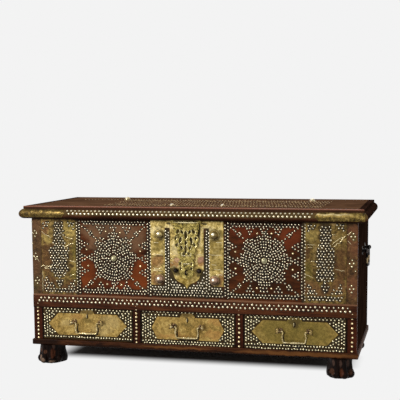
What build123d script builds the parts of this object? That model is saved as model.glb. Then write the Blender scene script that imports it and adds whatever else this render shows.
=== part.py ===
from build123d import *
import os
from math import atan2, cos, radians, sin

# Brass-studded dowry chest on paw feet: hinged lid with a pierced hasp, three drawers under the well.
# Millimetres. X runs across the front, Y runs front to back, Z runs up from the floor.

# --- carcass ---
body_width = 1200
body_depth = 520
foot_height = 68
plinth_height = 21.5
drawer_bay_height = 120.5
rail_height = 51
body_height = 498              # plinth underside to the rim
front_thickness = 24
end_thickness = 24
back_thickness = 20
floor_thickness = 16
stile_width = 35.5
muntin_width = 32.5
partition_thickness = 20
guide_height = 24
centre_x = -5                  # the maker's centre line stands a little left of the middle
muntin_offset = 191.25         # centre line to each muntin
plinth_reach = 6
plinth_stock = 30
rail_proud = 3
rail_bevel = 6
arris = 1.5

# --- lid ---
lid_thickness = 24
lip_gap = 1.5                  # air between the hanging lip and the carcass
lip_drop = 21.5
fillet_reach = 22
fillet_height = 11
bulge_reach = 35.5
rear_bosses = ((-342, 165), (398, 165))        # across, and forward from the back edge
front_bosses = ((-72, 470), (116, 470))
strap_end_gap = 9              # strap's end to the corner of the moulding

# --- brass sheet work ---
sheet = 1.2
lid_strap_length = 162
lid_strap_tip = 18
lid_strap_height = 29
strip_outer = 562.5            # outer edge of the strip sheets, from the body's middle
strip_inner = 413.5            # inner edge, from the centre line
side_sheet_span = (82, 134.5)  # beside the lock plate, from the centre line
side_sheet_bottom = 308
side_sheet_apron = 516         # above this they reach inwards to the lock plate
lock_half = 62
lock_boss_offset = 101
lock_boss_zs = (329, 492)
lock_boss_radius = 15.5
medallion_places = ((-281, 400.4), (275, 404.4))
medallion_boss_radius = 9

# --- hinges ---
hinge_width = 40
lid_knuckle_width = 14
knuckle_radius = 6
knuckle_stand = 8              # pin centre behind the back panel
pin_radius = 2.5
running_gap = 0.05
side_gap = 0.3
leaf_thickness = 2.5
leaf_drop = 90
hinge_strap_reach = 205        # under the lid, forward from the back edge
hinge_strap_width = 30

# --- hasp and staple ---
hasp_half = 47
hasp_thickness = 4
hasp_stand = 7                 # middle of the hasp in front of the panel
hasp_knuckle = 5
hasp_bottom = 334
staple_z = 357
staple_bar = 2.8
staple_half = 7
staple_reach = 24
ear_width = 7.5

# --- drawers ---
drawer_gap = 1
drawer_recess = 2
drawer_front_thickness = 20
drawer_side_thickness = 12
drawer_bottom_thickness = 8
drawer_depth = 478
drawer_side_height = 98
drawer_groove = 6
lock_case = (50, 12, 34)       # width, depth into the back of the drawer front, height
plate_halves = {"left": 153, "centre": 135, "right": 153}
plate_shoulder = 114
plate_height = 82
plate_lifts = {"left": 17.5, "centre": 18, "right": 20.5}    # above the drawer's bottom edge
shield_reach = 27
shield_drop = 58

# --- bail pulls and carrying handles ---
pull_half = 49.5               # drawer's middle to each post
pull_lift = 68                 # post height above the drawer's bottom edge
pull_stand = 15
pull_bar = 2.6
pull_drop = 40
carry_half = 60
carry_z = 425
carry_stand = 17
carry_bar = 4.5
carry_drop = 57

# --- paw feet ---
foot_x = 545
front_foot_inset = 22          # from the body's face to the middle of the toes' arc
back_foot_inset = 42
foot_turn = 25                 # degrees outwards
toe_angles = (-100, -50, 0, 50, 100)
toe_radius = 15.5
toe_reach = 34                 # also from the middle of the toes' arc to the front of the ankle
ankle_sections = ((0, 82, 100, 38), (26, 82, 100, 38), (46, 78, 94, 36), (foot_height, 84, 98, 36))
tendon_sections = ((24, 31, 12.5), (foot_height + 1, 33, 5))

# --- worked out ---
lid_reach = bulge_reach + sheet
hinge_reach = knuckle_stand + knuckle_radius
front_y = (lid_reach - hinge_reach) / 2 - body_depth / 2
back_y = front_y + body_depth
half_width = body_width / 2
base_z = foot_height
bay_bottom = base_z + plinth_height
bay_top = bay_bottom + drawer_bay_height
panel_bottom = bay_top + rail_height
rim_z = base_z + body_height
lid_top = rim_z + lid_thickness
lip_bottom = rim_z - lip_drop
sheet_top = lip_bottom - 2.5
inner_front = front_y + front_thickness
inner_back = back_y - back_thickness
inner_half = half_width - end_thickness
well_bottom = bay_top + floor_thickness
stile_inner = half_width - stile_width
bulge_top = lid_top - fillet_height
hinge_xs = tuple(across for across, setback in rear_bosses)
muntin_xs = {"left": centre_x - muntin_offset, "right": centre_x + muntin_offset}
bays = {
    "left": (-stile_inner, muntin_xs["left"] - muntin_width / 2),
    "centre": (muntin_xs["left"] + muntin_width / 2, muntin_xs["right"] - muntin_width / 2),
    "right": (muntin_xs["right"] + muntin_width / 2, stile_inner),
}
sides = {"left": -1, "right": 1}
front = (0, -1, 0)             # the direction in which the front faces

os.makedirs("parts", exist_ok=True)


def save(piece, name):
    piece.part.label = name
    export_step(piece.part, f"parts/{name}.step")


def board(x_span, y_span, z_span, mode=Mode.ADD):
    """A board between three pairs of faces, or a recess of that shape."""
    spans = (x_span, y_span, z_span)
    with Locations(tuple(sum(span) / 2 for span in spans)):
        Box(*(abs(span[1] - span[0]) for span in spans), mode=mode)


def face_board(x_span, z_span, thickness, stand=0):
    """A sheet lying on the front face, its back stand in front of it."""
    board(x_span, (front_y - stand - thickness, front_y - stand), z_span)


def upright(origin, out):
    """Plane whose x runs outwards along out and whose y runs up."""
    out = Vector(out)
    return Plane(origin=origin, x_dir=out, z_dir=out.cross(Vector(0, 0, 1)))


def turning(origin, out):
    """Plane for a turned profile: x is the radius, y the height along out."""
    out = Vector(out)
    across = Vector(1, 0, 0) if abs(out.X) < 0.5 else Vector(0, 0, 1)
    return Plane(origin=origin, x_dir=across, z_dir=across.cross(out))


def mitre(side):
    """Vertical mitre plane at a front corner, facing away from the front member."""
    return Plane(origin=(side * half_width, front_y, 0), z_dir=(side, 1, 0))


def run_along_front(section, length):
    """Extrudes a section across the front and mitres both its ends."""
    with BuildPart() as member:
        extrude(section(upright((0, front_y, 0), front)), amount=length, both=True)
        for side in sides.values():
            split(bisect_by=mitre(side), keep=Keep.BOTTOM)
    return member


def run_along_side(section, side, length):
    """Extrudes a section from the back edge forward and mitres its front end."""
    with BuildPart() as member:
        extrude(section(upright((side * half_width, back_y, 0), (side, 0, 0))), amount=side * length)
        split(bisect_by=mitre(side), keep=Keep.TOP)
    return member


def dome(origin, out, radius, height, flange=0.8):
    """A boss with a ball-shaped crown standing on a thin round flange."""
    rise = height - sheet
    ball = (radius**2 + rise**2) / (2 * rise)
    half_turn = atan2(radius, ball - rise) / 2
    shoulder = (ball * sin(half_turn), height - ball + ball * cos(half_turn))
    with BuildSketch(turning(origin, out)) as profile:
        with BuildLine():
            Polyline((0, height), (0, 0), (radius + flange, 0), (radius + flange, sheet), (radius, sheet))
            ThreePointArc((radius, sheet), shoulder, (0, height))
        make_face()
    revolve(profile.sketch, axis=Axis(origin, out))


def rod(x_span, y, z, radius, mode=Mode.ADD):
    """A round bar, or a round hole, along X."""
    with Locations(Location((sum(x_span) / 2, y, z), (0, 90, 0))):
        Cylinder(radius, x_span[1] - x_span[0], mode=mode)


def knuckle(x_span, y, z, radius, bore):
    """A hinge barrel along X with its pin hole."""
    rod(x_span, y, z, radius)
    rod(x_span, y, z, bore, Mode.SUBTRACT)


def headed_pin(x_span, y, z, radius, head):
    """A hinge pin along X with a domed head seated at each end of the barrels."""
    rod(x_span, y, z, radius)
    dome((x_span[0], y, z), (-1, 0, 0), head, head * 0.6)
    dome((x_span[1], y, z), (1, 0, 0), head, head * 0.6)


# ---------------- carcass boards ----------------

with BuildPart() as front_panel:
    board((-half_width, half_width), (front_y, inner_front), (panel_bottom, rim_z))
save(front_panel, "front_panel")

with BuildPart() as back_panel:
    board((-inner_half, inner_half), (inner_back, back_y), (bay_bottom, rim_z))
    for hinge_x in hinge_xs:               # notches that let the hinge straps into the rim
        with BuildSketch(Plane.XY.offset(rim_z - leaf_thickness - side_gap)):
            with Locations((hinge_x, (inner_back + back_y) / 2)):
                Rectangle(hinge_strap_width + 2, back_thickness)
        extrude(amount=leaf_thickness + side_gap, mode=Mode.SUBTRACT)
save(back_panel, "back_panel")

for side_name, side in sides.items():
    with BuildPart() as end_board:
        board((side * inner_half, side * half_width), (inner_front, back_y), (bay_bottom, rim_z))
    save(end_board, f"{side_name}_end")

with BuildPart() as chest_floor:
    board((-inner_half, inner_half), (inner_front, inner_back), (bay_top, well_bottom))
save(chest_floor, "chest_floor")

with BuildPart() as bottom_board:
    board_half = half_width + plinth_reach - plinth_stock
    board((-board_half, board_half), (front_y - plinth_reach + plinth_stock, back_y), (base_z, bay_bottom))
save(bottom_board, "bottom_board")

with BuildPart() as drawer_rail:
    board((-half_width, half_width), (front_y - rail_proud, inner_front), (bay_top, panel_bottom))
    upper = drawer_rail.edges().filter_by(Axis.X).group_by(Axis.Y)[0].sort_by(Axis.Z)[-1]
    chamfer(upper, rail_proud, rail_bevel, reference=drawer_rail.faces().sort_by(Axis.Z)[-1])
save(drawer_rail, "drawer_rail")

with BuildPart() as corner_stiles:
    for side in sides.values():
        board((side * stile_inner, side * half_width), (front_y, inner_front), (bay_bottom, bay_top))
save(corner_stiles, "corner_stiles")

with BuildPart() as muntins:
    for post_x in muntin_xs.values():
        span = (post_x - muntin_width / 2, post_x + muntin_width / 2)
        board(span, (front_y, inner_front), (bay_bottom, bay_top))
    fillet(muntins.edges().filter_by(Axis.Z).group_by(Axis.Y)[0], arris)
save(muntins, "muntins")

with BuildPart() as partitions:
    for post_x in muntin_xs.values():
        span = (post_x - partition_thickness / 2, post_x + partition_thickness / 2)
        board(span, (inner_front, inner_back), (bay_bottom, bay_top))
save(partitions, "partitions")

with BuildPart() as drawer_guides:
    guide_z = (bay_bottom, bay_bottom + guide_height)
    for side in sides.values():
        board((side * stile_inner, side * inner_half), (inner_front, inner_back), guide_z)
        for post_x in muntin_xs.values():
            near = post_x + side * partition_thickness / 2
            far = post_x + side * muntin_width / 2
            board((near, far), (inner_front, inner_back), guide_z)
save(drawer_guides, "drawer_guides")


# ---------------- plinth moulding ----------------

def plinth_section(plane):
    """Plinth stock with its outer edges rounded over."""
    with BuildSketch(plane) as section:
        with Locations((plinth_reach - plinth_stock / 2, base_z + plinth_height / 2)):
            Rectangle(plinth_stock, plinth_height)
        fillet(section.vertices().group_by(Axis.X)[-1], 4)
    return section.sketch


save(run_along_front(plinth_section, half_width + plinth_stock), "plinth_front")
with BuildPart() as plinth_ends:
    for side in sides.values():
        add(run_along_side(plinth_section, side, body_depth + plinth_stock).part)
save(plinth_ends, "plinth_ends")


# ---------------- paw feet ----------------

# A lion's paw facing forwards: a broad ankle, five toes fanned round its front, a tendon over each toe.
# Ankle sections are height, width, length and corner radius; tendon sections height, reach and radius.
with BuildPart() as paw:
    for height, width, length, corner in ankle_sections:
        with BuildSketch(Plane.XY.offset(height)):
            with Locations((0, length / 2 - toe_reach)):
                RectangleRounded(width, length, corner)
    loft()
    for angle in toe_angles:
        across, forward = sin(radians(angle)), -cos(radians(angle))
        with Locations((across * toe_reach, forward * toe_reach, toe_radius - 1.5)):
            Sphere(toe_radius)
        for height, reach, radius in tendon_sections:
            with BuildSketch(Plane.XY.offset(height)):
                with Locations((across * reach, forward * reach)):
                    Circle(radius)
        loft()
    split(bisect_by=Plane.XY, keep=Keep.TOP)
    split(bisect_by=Plane.XY.offset(foot_height), keep=Keep.BOTTOM)

for side_name, side in sides.items():
    for end_name, y, turn in (
        ("front", front_y + front_foot_inset, side * foot_turn),
        ("back", back_y - back_foot_inset, 180 - side * foot_turn),
    ):
        with BuildPart() as foot:
            with Locations(Location((side * foot_x, y, 0), (0, 0, turn))):
                add(paw.part)
        save(foot, f"foot_{end_name}_{side_name}")


# ---------------- brass sheets on the front ----------------

with BuildPart() as corner_straps:
    for side in sides.values():
        face_board((side * (strip_outer + 1), side * (half_width - 0.5)), (panel_bottom, sheet_top), sheet)
save(corner_straps, "corner_straps")

with BuildPart() as strip_sheets:
    for side in sides.values():
        face_board((centre_x + side * strip_inner, side * strip_outer), (panel_bottom, sheet_top), sheet)
save(strip_sheets, "strip_sheets")

with BuildPart() as side_sheets:
    for side in sides.values():
        near, far = (centre_x + side * reach for reach in side_sheet_span)
        face_board((near, far), (side_sheet_bottom, sheet_top), sheet)
        face_board((centre_x + side * (lock_half + side_gap), near), (side_sheet_apron, sheet_top), sheet)
    low_edges = side_sheets.edges().filter_by(Axis.Y).group_by(Axis.Z)[0].sort_by(Axis.X)
    chamfer(low_edges[1:3], 18)
save(side_sheets, "side_sheets")

with BuildPart() as lock_plate:
    with BuildSketch(Plane(origin=(centre_x, front_y, 0), x_dir=(1, 0, 0), z_dir=front)) as shield:
        with BuildLine() as shield_half:
            Polyline((0, sheet_top), (lock_half, sheet_top), (lock_half, 366), (50, 350))
            ThreePointArc((50, 350), (40, 329), (19, 317))
            ThreePointArc((19, 317), (8, 309), (0, 296))
            mirror(about=Plane.YZ)
        make_face()
        with Locations((0, staple_z - staple_half), (0, staple_z + staple_half)):
            Circle(staple_bar + side_gap, mode=Mode.SUBTRACT)
    extrude(amount=sheet)
save(lock_plate, "lock_plate")

with BuildPart() as lock_bosses:
    for side in sides.values():
        for boss_z in lock_boss_zs:
            place = (centre_x + side * lock_boss_offset, front_y - sheet, boss_z)
            dome(place, front, lock_boss_radius, 14, 1.5)
save(lock_bosses, "lock_bosses")

with BuildPart() as medallion_bosses:
    for boss_x, boss_z in medallion_places:
        dome((boss_x, front_y, boss_z), front, medallion_boss_radius, 8.5, 1.5)
save(medallion_bosses, "medallion_bosses")

with BuildPart() as staple:
    loop = upright((centre_x, front_y, staple_z), front)
    with BuildLine(loop) as loop_line:
        Line((0, -staple_half), (staple_reach - staple_half, -staple_half))
        ThreePointArc(
            (staple_reach - staple_half, -staple_half),
            (staple_reach, 0),
            (staple_reach - staple_half, staple_half),
        )
        Line((staple_reach - staple_half, staple_half), (0, staple_half))
    with BuildSketch(Plane(origin=loop_line.line @ 0, z_dir=loop_line.line % 0)):
        Circle(staple_bar)
    sweep()
save(staple, "staple")


# ---------------- lid ----------------

def lid_section(plane):
    """Lid moulding: a square fillet over a full round, with a flat underside and a hanging lip."""
    with BuildSketch(plane) as section:
        with BuildLine():
            Polyline(
                (fillet_reach, lip_bottom),
                (lip_gap, lip_bottom),
                (lip_gap, lid_top),
                (fillet_reach, lid_top),
                (fillet_reach, bulge_top),
            )
            middle = (bulge_reach, (lip_bottom + bulge_top) / 2)
            ThreePointArc((fillet_reach, bulge_top), middle, (fillet_reach, lip_bottom))
        make_face()
        fillet(section.vertices().sort_by(Axis.Y)[-2:].sort_by(Axis.X)[-1], arris)
    return section.sketch


def lid_strap_section(plane):
    """Thin brass bent over the upper part of the moulding's round."""
    rise = (bulge_top - lip_bottom) / 2
    sag = bulge_reach - fillet_reach
    radius = (rise**2 + sag**2) / (2 * sag)
    with BuildSketch(plane) as section:
        with Locations((bulge_reach - radius, lip_bottom + rise)):
            Circle(radius + sheet)
            Circle(radius, mode=Mode.SUBTRACT)
        with Locations((fillet_reach + 10, bulge_top - lid_strap_height / 2)):
            Rectangle(20 - 2 * side_gap, lid_strap_height, mode=Mode.INTERSECT)
    return section.sketch


with BuildPart() as lid_board:
    lid_half = half_width + lip_gap
    board((-lid_half, lid_half), (front_y - lip_gap, back_y), (rim_z, lid_top))
save(lid_board, "lid_board")

save(run_along_front(lid_section, half_width + 2 * bulge_reach), "lid_moulding_front")
for side_name, side in sides.items():
    save(run_along_side(lid_section, side, body_depth + 2 * bulge_reach), f"lid_moulding_{side_name}")

with BuildPart() as lid_straps:                # wrapped round both ends of the front moulding
    add(run_along_front(lid_strap_section, half_width + 2 * bulge_reach).part)
    shoulder = half_width + bulge_reach - lid_strap_length
    tip = shoulder - lid_strap_tip
    middle = bulge_top - lid_strap_height / 2
    with BuildSketch(Plane(origin=(0, front_y, 0), x_dir=(1, 0, 0), z_dir=front)):
        with Locations((0, middle)):
            Rectangle(4 * half_width, lid_thickness * 2)
            Rectangle(2 * (half_width + bulge_reach - strap_end_gap), lid_thickness * 2, mode=Mode.SUBTRACT)
        with BuildLine():
            Polyline((0, lid_top), (shoulder, lid_top), (tip, middle), (shoulder, lip_bottom), (0, lip_bottom))
            mirror(about=Plane.YZ)
        make_face()
    extrude(amount=2 * bulge_reach, mode=Mode.SUBTRACT)
save(lid_straps, "lid_straps")

with BuildPart() as lid_bosses:
    for places, radius, height in ((rear_bosses, 12, 13), (front_bosses, 8.5, 9)):
        for boss_x, setback in places:
            dome((boss_x, back_y - setback, lid_top), (0, 0, 1), radius, height, 1.5)
save(lid_bosses, "lid_bosses")


def barrel_span(hinge_x, width=hinge_width):
    return (hinge_x - width / 2, hinge_x + width / 2)


pin_y = back_y + knuckle_stand
bore = pin_radius + running_gap

with BuildPart() as hinge_leaves:              # on the back panel, each with two outer barrels
    for hinge_x in hinge_xs:
        board(barrel_span(hinge_x), (back_y, back_y + leaf_thickness), (rim_z - leaf_drop, rim_z - 7.5))
    fillet(hinge_leaves.edges().filter_by(Axis.Y).group_by(Axis.Z)[0], 10)
    for hinge_x in hinge_xs:
        outer = barrel_span(hinge_x)
        inner = barrel_span(hinge_x, lid_knuckle_width + 2 * side_gap)
        for span in ((outer[0], inner[0]), (inner[1], outer[1])):
            board(span, (back_y, pin_y), (rim_z - 9, rim_z - 1))
            knuckle(span, pin_y, rim_z, knuckle_radius, bore)
save(hinge_leaves, "hinge_leaves")

with BuildPart() as hinge_straps:              # under the lid, each with the middle barrel
    strap_z = (rim_z - leaf_thickness, rim_z)
    for hinge_x in hinge_xs:
        board(barrel_span(hinge_x, hinge_strap_width), (back_y - hinge_strap_reach, back_y - 1), strap_z)
    fillet(hinge_straps.edges().filter_by(Axis.Z).group_by(Axis.Y)[0], hinge_strap_width / 2 - 1)
    for hinge_x in hinge_xs:
        board(barrel_span(hinge_x, lid_knuckle_width), (back_y - 1, pin_y), strap_z)
        knuckle(barrel_span(hinge_x, lid_knuckle_width), pin_y, rim_z, knuckle_radius, bore)
save(hinge_straps, "hinge_straps")

with BuildPart() as hinge_pins:
    for hinge_x in hinge_xs:
        headed_pin(barrel_span(hinge_x), pin_y, rim_z, pin_radius, knuckle_radius - 1)
save(hinge_pins, "hinge_pins")


# ---------------- hasp ----------------

hasp_y = front_y - hasp_stand
hasp_pin_z = lip_bottom - leaf_thickness - side_gap - hasp_knuckle
hasp_span = (centre_x - hasp_half, centre_x + hasp_half)
ears = (
    (hasp_span[0] - side_gap - ear_width, hasp_span[0] - side_gap),
    (hasp_span[1] + side_gap, hasp_span[1] + side_gap + ear_width),
)

with BuildPart() as hasp_bracket:              # nailed under the lid moulding
    plate_z = (lip_bottom - leaf_thickness, lip_bottom)
    board((ears[0][0], ears[1][1]), (front_y - 20, front_y - 3), plate_z)
    for ear in ears:
        board(ear, (hasp_y - hasp_knuckle + 1, hasp_y + hasp_knuckle - 1), (hasp_pin_z, plate_z[1]))
        knuckle(ear, hasp_y, hasp_pin_z, hasp_knuckle, pin_radius + running_gap)
save(hasp_bracket, "hasp_bracket")

with BuildPart() as hasp_pin:
    headed_pin((ears[0][0], ears[1][1]), hasp_y, hasp_pin_z, pin_radius, hasp_knuckle - 1)
save(hasp_pin, "hasp_pin")


def leaf_hole(x, z, height, width, tilt=0):
    """Cuts a pointed leaf-shaped piercing made of two arcs from the open sketch."""
    with BuildSketch() as leaf:
        with BuildLine():
            ThreePointArc((0, height / 2), (width / 2, 0), (0, -height / 2))
            ThreePointArc((0, -height / 2), (-width / 2, 0), (0, height / 2))
        make_face()
    with Locations(Location((x, z), tilt)):
        add(leaf.sketch, mode=Mode.SUBTRACT)


# piercings right of the middle: x, z, height, width, tilt; each has a twin on the left
hasp_leaves = (
    (29, 504, 15, 9, 30),
    (14, 502, 14, 6, -28),
    (37, 480, 11, 6.5, -8),
    (20, 473, 22, 8, 14),
    (32, 456, 12, 6.5, 18),
    (16, 447, 14, 6, -26),
    (20, 388, 10, 5, 8),
    (20, 371, 10, 5, -8),
)
hasp_middle_leaves = ((0, 492, 28, 9), (0, 463, 14, 7), (0, 440, 26, 8))

with BuildPart() as hasp:
    hasp_front = Plane(origin=(centre_x, hasp_y + hasp_thickness / 2, 0), x_dir=(1, 0, 0), z_dir=front)
    with BuildSketch(hasp_front):
        with BuildLine():
            Polyline((0, hasp_pin_z), (hasp_half, hasp_pin_z), (hasp_half, 513), (44, 510))
            ThreePointArc((44, 510), (43, 499), (38, 490))
            ThreePointArc((38, 490), (46, 478), (40, 465))
            ThreePointArc((40, 465), (42, 453), (31, 443))
            ThreePointArc((31, 443), (33, 430), (24, 421))
            ThreePointArc((24, 421), (30, 411), (19, 403))
            ThreePointArc((19, 403), (29, 393), (26, 380))
            Line((26, 380), (26, 356))
            ThreePointArc((26, 356), (18, 340), (0, hasp_bottom))
            mirror(about=Plane.YZ)
        make_face()
        for x, z, height, width in hasp_middle_leaves:
            leaf_hole(x, z, height, width)
        for x, z, height, width, tilt in hasp_leaves:
            for side in (-1, 1):
                leaf_hole(side * x, z, height, width, side * tilt)
        with Locations(Location((0, staple_z), 90)):
            SlotOverall(24, 9, mode=Mode.SUBTRACT)
    extrude(amount=hasp_thickness)
    for rib_z in (513, 521, 529):              # cast mouldings across the head
        rod(hasp_span, hasp_y - hasp_thickness / 2, rib_z, 1.6)
    knuckle(hasp_span, hasp_y, hasp_pin_z, hasp_knuckle, pin_radius + running_gap)
save(hasp, "hasp")


# ---------------- bails, shared by the drawer pulls and the carrying handles ----------------

post_eye = 1.8                 # radius of a post's eye, in bars of its bail
post_neck_angle = radians(42)  # where the neck meets the ball, from the post's foot
bail_bend = 2.2                # radius of a bail's bends, in bars


def bail(plane, half, drop, bar):
    """A swan-necked bail in the given plane, with a swelling grip and pointed finials."""
    with BuildPart() as piece:
        bend = half - (post_eye + bail_bend + 0.2) * bar
        knee = bend + 1.5 * bar
        end = half + (post_eye + 0.6) * bar
        with BuildLine(plane) as line:
            FilletPolyline(
                (-end, 0),
                (-bend, 0),
                (-knee, -0.55 * drop),
                (-bend, -drop),
                (bend, -drop),
                (knee, -0.55 * drop),
                (bend, 0),
                (end, 0),
                radius=bail_bend * bar,
            )
        with BuildSketch(Plane(origin=line.line @ 0, z_dir=line.line % 0)):
            Circle(bar)
        sweep()
        along = plane.x_dir
        grip_start = plane.from_local_coords(Vector(-half / 2, -drop, 0))
        with BuildSketch(Plane(origin=grip_start, x_dir=along, z_dir=plane.z_dir)):
            with BuildLine():
                Polyline((0, 0.9 * bar), (0, 0), (half, 0), (half, 0.9 * bar))
                Spline((half, 0.9 * bar), (half / 2, 1.5 * bar), (0, 0.9 * bar))
            make_face()
        revolve(axis=Axis(grip_start, along))
        for side in (-1, 1):
            root = plane.from_local_coords(Vector(side * (half + (post_eye + 0.25) * bar), 0, 0))
            with BuildSketch(turning(root, along * side)):
                with BuildLine():
                    Polyline((0, 3.6 * bar), (0, 0), (1.25 * bar, 0))
                    Spline((1.25 * bar, 0), (1.5 * bar, 1.2 * bar), (0.8 * bar, 2.5 * bar), (0, 3.6 * bar))
                make_face()
            revolve(axis=Axis(root, along * side))
    return piece


def bail_post(origin, out, along, stand, bar):
    """A turned post on a round rose, bored across for the bail."""
    eye = post_eye * bar
    neck = eye * sin(post_neck_angle)
    neck_top = stand - eye * cos(post_neck_angle)
    with BuildSketch(turning(origin, out)) as profile:
        with BuildLine():
            Polyline((0, 0), (2 * eye, 0), (1.9 * eye, 1.6), (1.2 * eye, 2.4), (neck, 5), (neck, neck_top))
            ThreePointArc((neck, neck_top), (eye, stand), (0, stand + eye))
            Line((0, stand + eye), (0, 0))
        make_face()
    revolve(profile.sketch, axis=Axis(origin, out))
    eye_centre = Vector(origin) + Vector(out) * stand
    with Locations(Plane(origin=eye_centre, z_dir=along)):
        Cylinder(bar + running_gap, 3 * eye, mode=Mode.SUBTRACT)


# ---------------- drawers ----------------

for bay_name, (bay_left, bay_right) in bays.items():
    front_span = (bay_left + drawer_gap, bay_right - drawer_gap)
    middle_x = (bay_left + bay_right) / 2
    low = bay_bottom + drawer_gap
    high = bay_top - drawer_gap
    face_y = front_y + drawer_recess
    board_back = face_y + drawer_front_thickness
    box_back = board_back + drawer_depth - drawer_front_thickness
    side_top = low + drawer_side_height
    groove_y = board_back - drawer_groove
    left_in = front_span[0] + drawer_side_thickness
    right_in = front_span[1] - drawer_side_thickness
    bottom_z = (low + 5, low + 5 + drawer_bottom_thickness)
    lock_spans = (
        (middle_x - lock_case[0] / 2, middle_x + lock_case[0] / 2),
        (board_back - lock_case[1], board_back),
        (high - 12 - lock_case[2], high - 12),
    )

    with BuildPart() as drawer_front:          # rebated at both ends and grooved for the bottom
        board(front_span, (face_y, board_back), (low, high))
        fillet(drawer_front.faces().sort_by(Axis.Y)[0].edges(), arris)
        with BuildSketch(Plane.XY.offset(low)):
            for side, edge in zip((-1, 1), front_span):
                with Locations((edge - side * drawer_side_thickness / 2, groove_y + drawer_groove / 2)):
                    Rectangle(drawer_side_thickness, drawer_groove)
        extrude(amount=drawer_side_height, mode=Mode.SUBTRACT)
        with BuildSketch(Plane.XY.offset(bottom_z[0])):
            with Locations((middle_x, groove_y + drawer_groove / 2)):
                Rectangle(right_in - left_in, drawer_groove)
        extrude(amount=drawer_bottom_thickness, mode=Mode.SUBTRACT)
        board(*lock_spans, mode=Mode.SUBTRACT)
    save(drawer_front, f"drawer_{bay_name}_front")

    with BuildPart() as drawer_lock:           # let into the back of the front, behind the keyhole
        board(*lock_spans)
        with BuildSketch(Plane(origin=(middle_x, board_back, high - 28), z_dir=front)):
            Circle(3.2)
        extrude(amount=lock_case[1] - 3, mode=Mode.SUBTRACT)
    save(drawer_lock, f"drawer_{bay_name}_lock")

    with BuildPart() as drawer_frame:          # two sides
        board((front_span[0], left_in), (groove_y, box_back), (low, side_top))
        board((right_in, front_span[1]), (groove_y, box_back), (low, side_top))
    with BuildPart() as drawer_back:
        board((left_in, right_in), (box_back - drawer_side_thickness, box_back), (bottom_z[1], side_top))
    drawer_frame.part = Compound(drawer_frame.part.solids() + drawer_back.part.solids())
    save(drawer_frame, f"drawer_{bay_name}_frame")

    with BuildPart() as drawer_bottom:
        board((left_in, right_in), (groove_y, box_back), bottom_z)
    save(drawer_bottom, f"drawer_{bay_name}_bottom")

    plate_half = plate_halves[bay_name]
    plate_low = low + plate_lifts[bay_name]
    plate_middle = plate_low + plate_height / 2
    shield_top = high - 3
    plate_face = Plane(origin=(middle_x, face_y, 0), x_dir=(1, 0, 0), z_dir=front)
    with BuildPart() as drawer_plate:
        with BuildSketch(plate_face):
            with BuildLine():
                Polyline(
                    (-plate_half, plate_middle),
                    (-plate_shoulder, plate_low + plate_height),
                    (plate_shoulder, plate_low + plate_height),
                    (plate_half, plate_middle),
                    (plate_shoulder, plate_low),
                    (-plate_shoulder, plate_low),
                    close=True,
                )
            make_face()
        extrude(amount=sheet)
        with BuildSketch(plate_face):                     # escutcheon hanging from the top edge
            with BuildLine():
                widest = (shield_reach, shield_top - 18)
                Line((0, shield_top), (15, shield_top))
                ThreePointArc((15, shield_top), (24, shield_top - 6), widest)
                ThreePointArc(widest, (19, shield_top - 42), (0, shield_top - shield_drop))
                mirror(about=Plane.YZ)
            make_face()
        extrude(amount=2 * sheet)
        with BuildSketch(plate_face):                     # keyhole
            with Locations((0, high - 28)):
                Circle(3.2)
            with Locations((0, high - 33)):
                Rectangle(3, 9)
        extrude(amount=2 * sheet, mode=Mode.SUBTRACT)
    save(drawer_plate, f"drawer_{bay_name}_plate")

    post_z = low + pull_lift
    with BuildPart() as pull_posts:
        for side in (-1, 1):
            post = (middle_x + side * pull_half, face_y - sheet, post_z)
            bail_post(post, front, (1, 0, 0), pull_stand - sheet, pull_bar)
    save(pull_posts, f"pull_{bay_name}_posts")
    hang = Plane(origin=(middle_x, face_y - pull_stand, post_z), x_dir=(1, 0, 0), z_dir=front)
    save(bail(hang, pull_half, pull_drop, pull_bar), f"pull_{bay_name}_bail")

# ---------------- carrying handles on the ends ----------------

carry_y = (front_y + back_y) / 2
with BuildPart() as carry_posts:
    for side in sides.values():
        for end in (-1, 1):
            post = (side * half_width, carry_y + end * carry_half, carry_z)
            bail_post(post, (side, 0, 0), (0, 1, 0), carry_stand, carry_bar)
save(carry_posts, "carry_posts")

for side_name, side in sides.items():
    hang = Plane(origin=(side * (half_width + carry_stand), carry_y, carry_z), x_dir=(0, 1, 0), z_dir=(1, 0, 0))
    save(bail(hang, carry_half, carry_drop, carry_bar), f"carry_{side_name}_bail")
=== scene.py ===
from functools import partial
from math import cos, pi, sin, tau

import bpy
import numpy as np
from mathutils import Matrix, Vector


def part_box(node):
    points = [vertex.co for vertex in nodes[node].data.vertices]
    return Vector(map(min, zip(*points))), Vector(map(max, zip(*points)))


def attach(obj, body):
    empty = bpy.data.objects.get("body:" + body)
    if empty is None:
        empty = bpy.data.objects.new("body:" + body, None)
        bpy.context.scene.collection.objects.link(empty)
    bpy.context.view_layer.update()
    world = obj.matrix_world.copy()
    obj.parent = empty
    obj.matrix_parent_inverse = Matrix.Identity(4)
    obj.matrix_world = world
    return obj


# A brass-studded dowry chest. Everything is in metres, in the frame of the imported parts;
# patterns are laid out in millimetres across the front and above the underside of the plinth.

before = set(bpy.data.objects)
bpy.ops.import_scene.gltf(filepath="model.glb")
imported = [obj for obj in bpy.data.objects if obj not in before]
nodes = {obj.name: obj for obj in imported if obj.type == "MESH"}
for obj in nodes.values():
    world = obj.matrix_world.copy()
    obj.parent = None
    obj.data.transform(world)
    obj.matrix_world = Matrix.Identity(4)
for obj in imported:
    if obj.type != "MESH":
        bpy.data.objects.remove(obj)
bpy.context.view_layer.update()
mm = 0.001
draw = np.random.default_rng(1890)
print("frame loaded:", len(nodes), "nodes")

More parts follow.
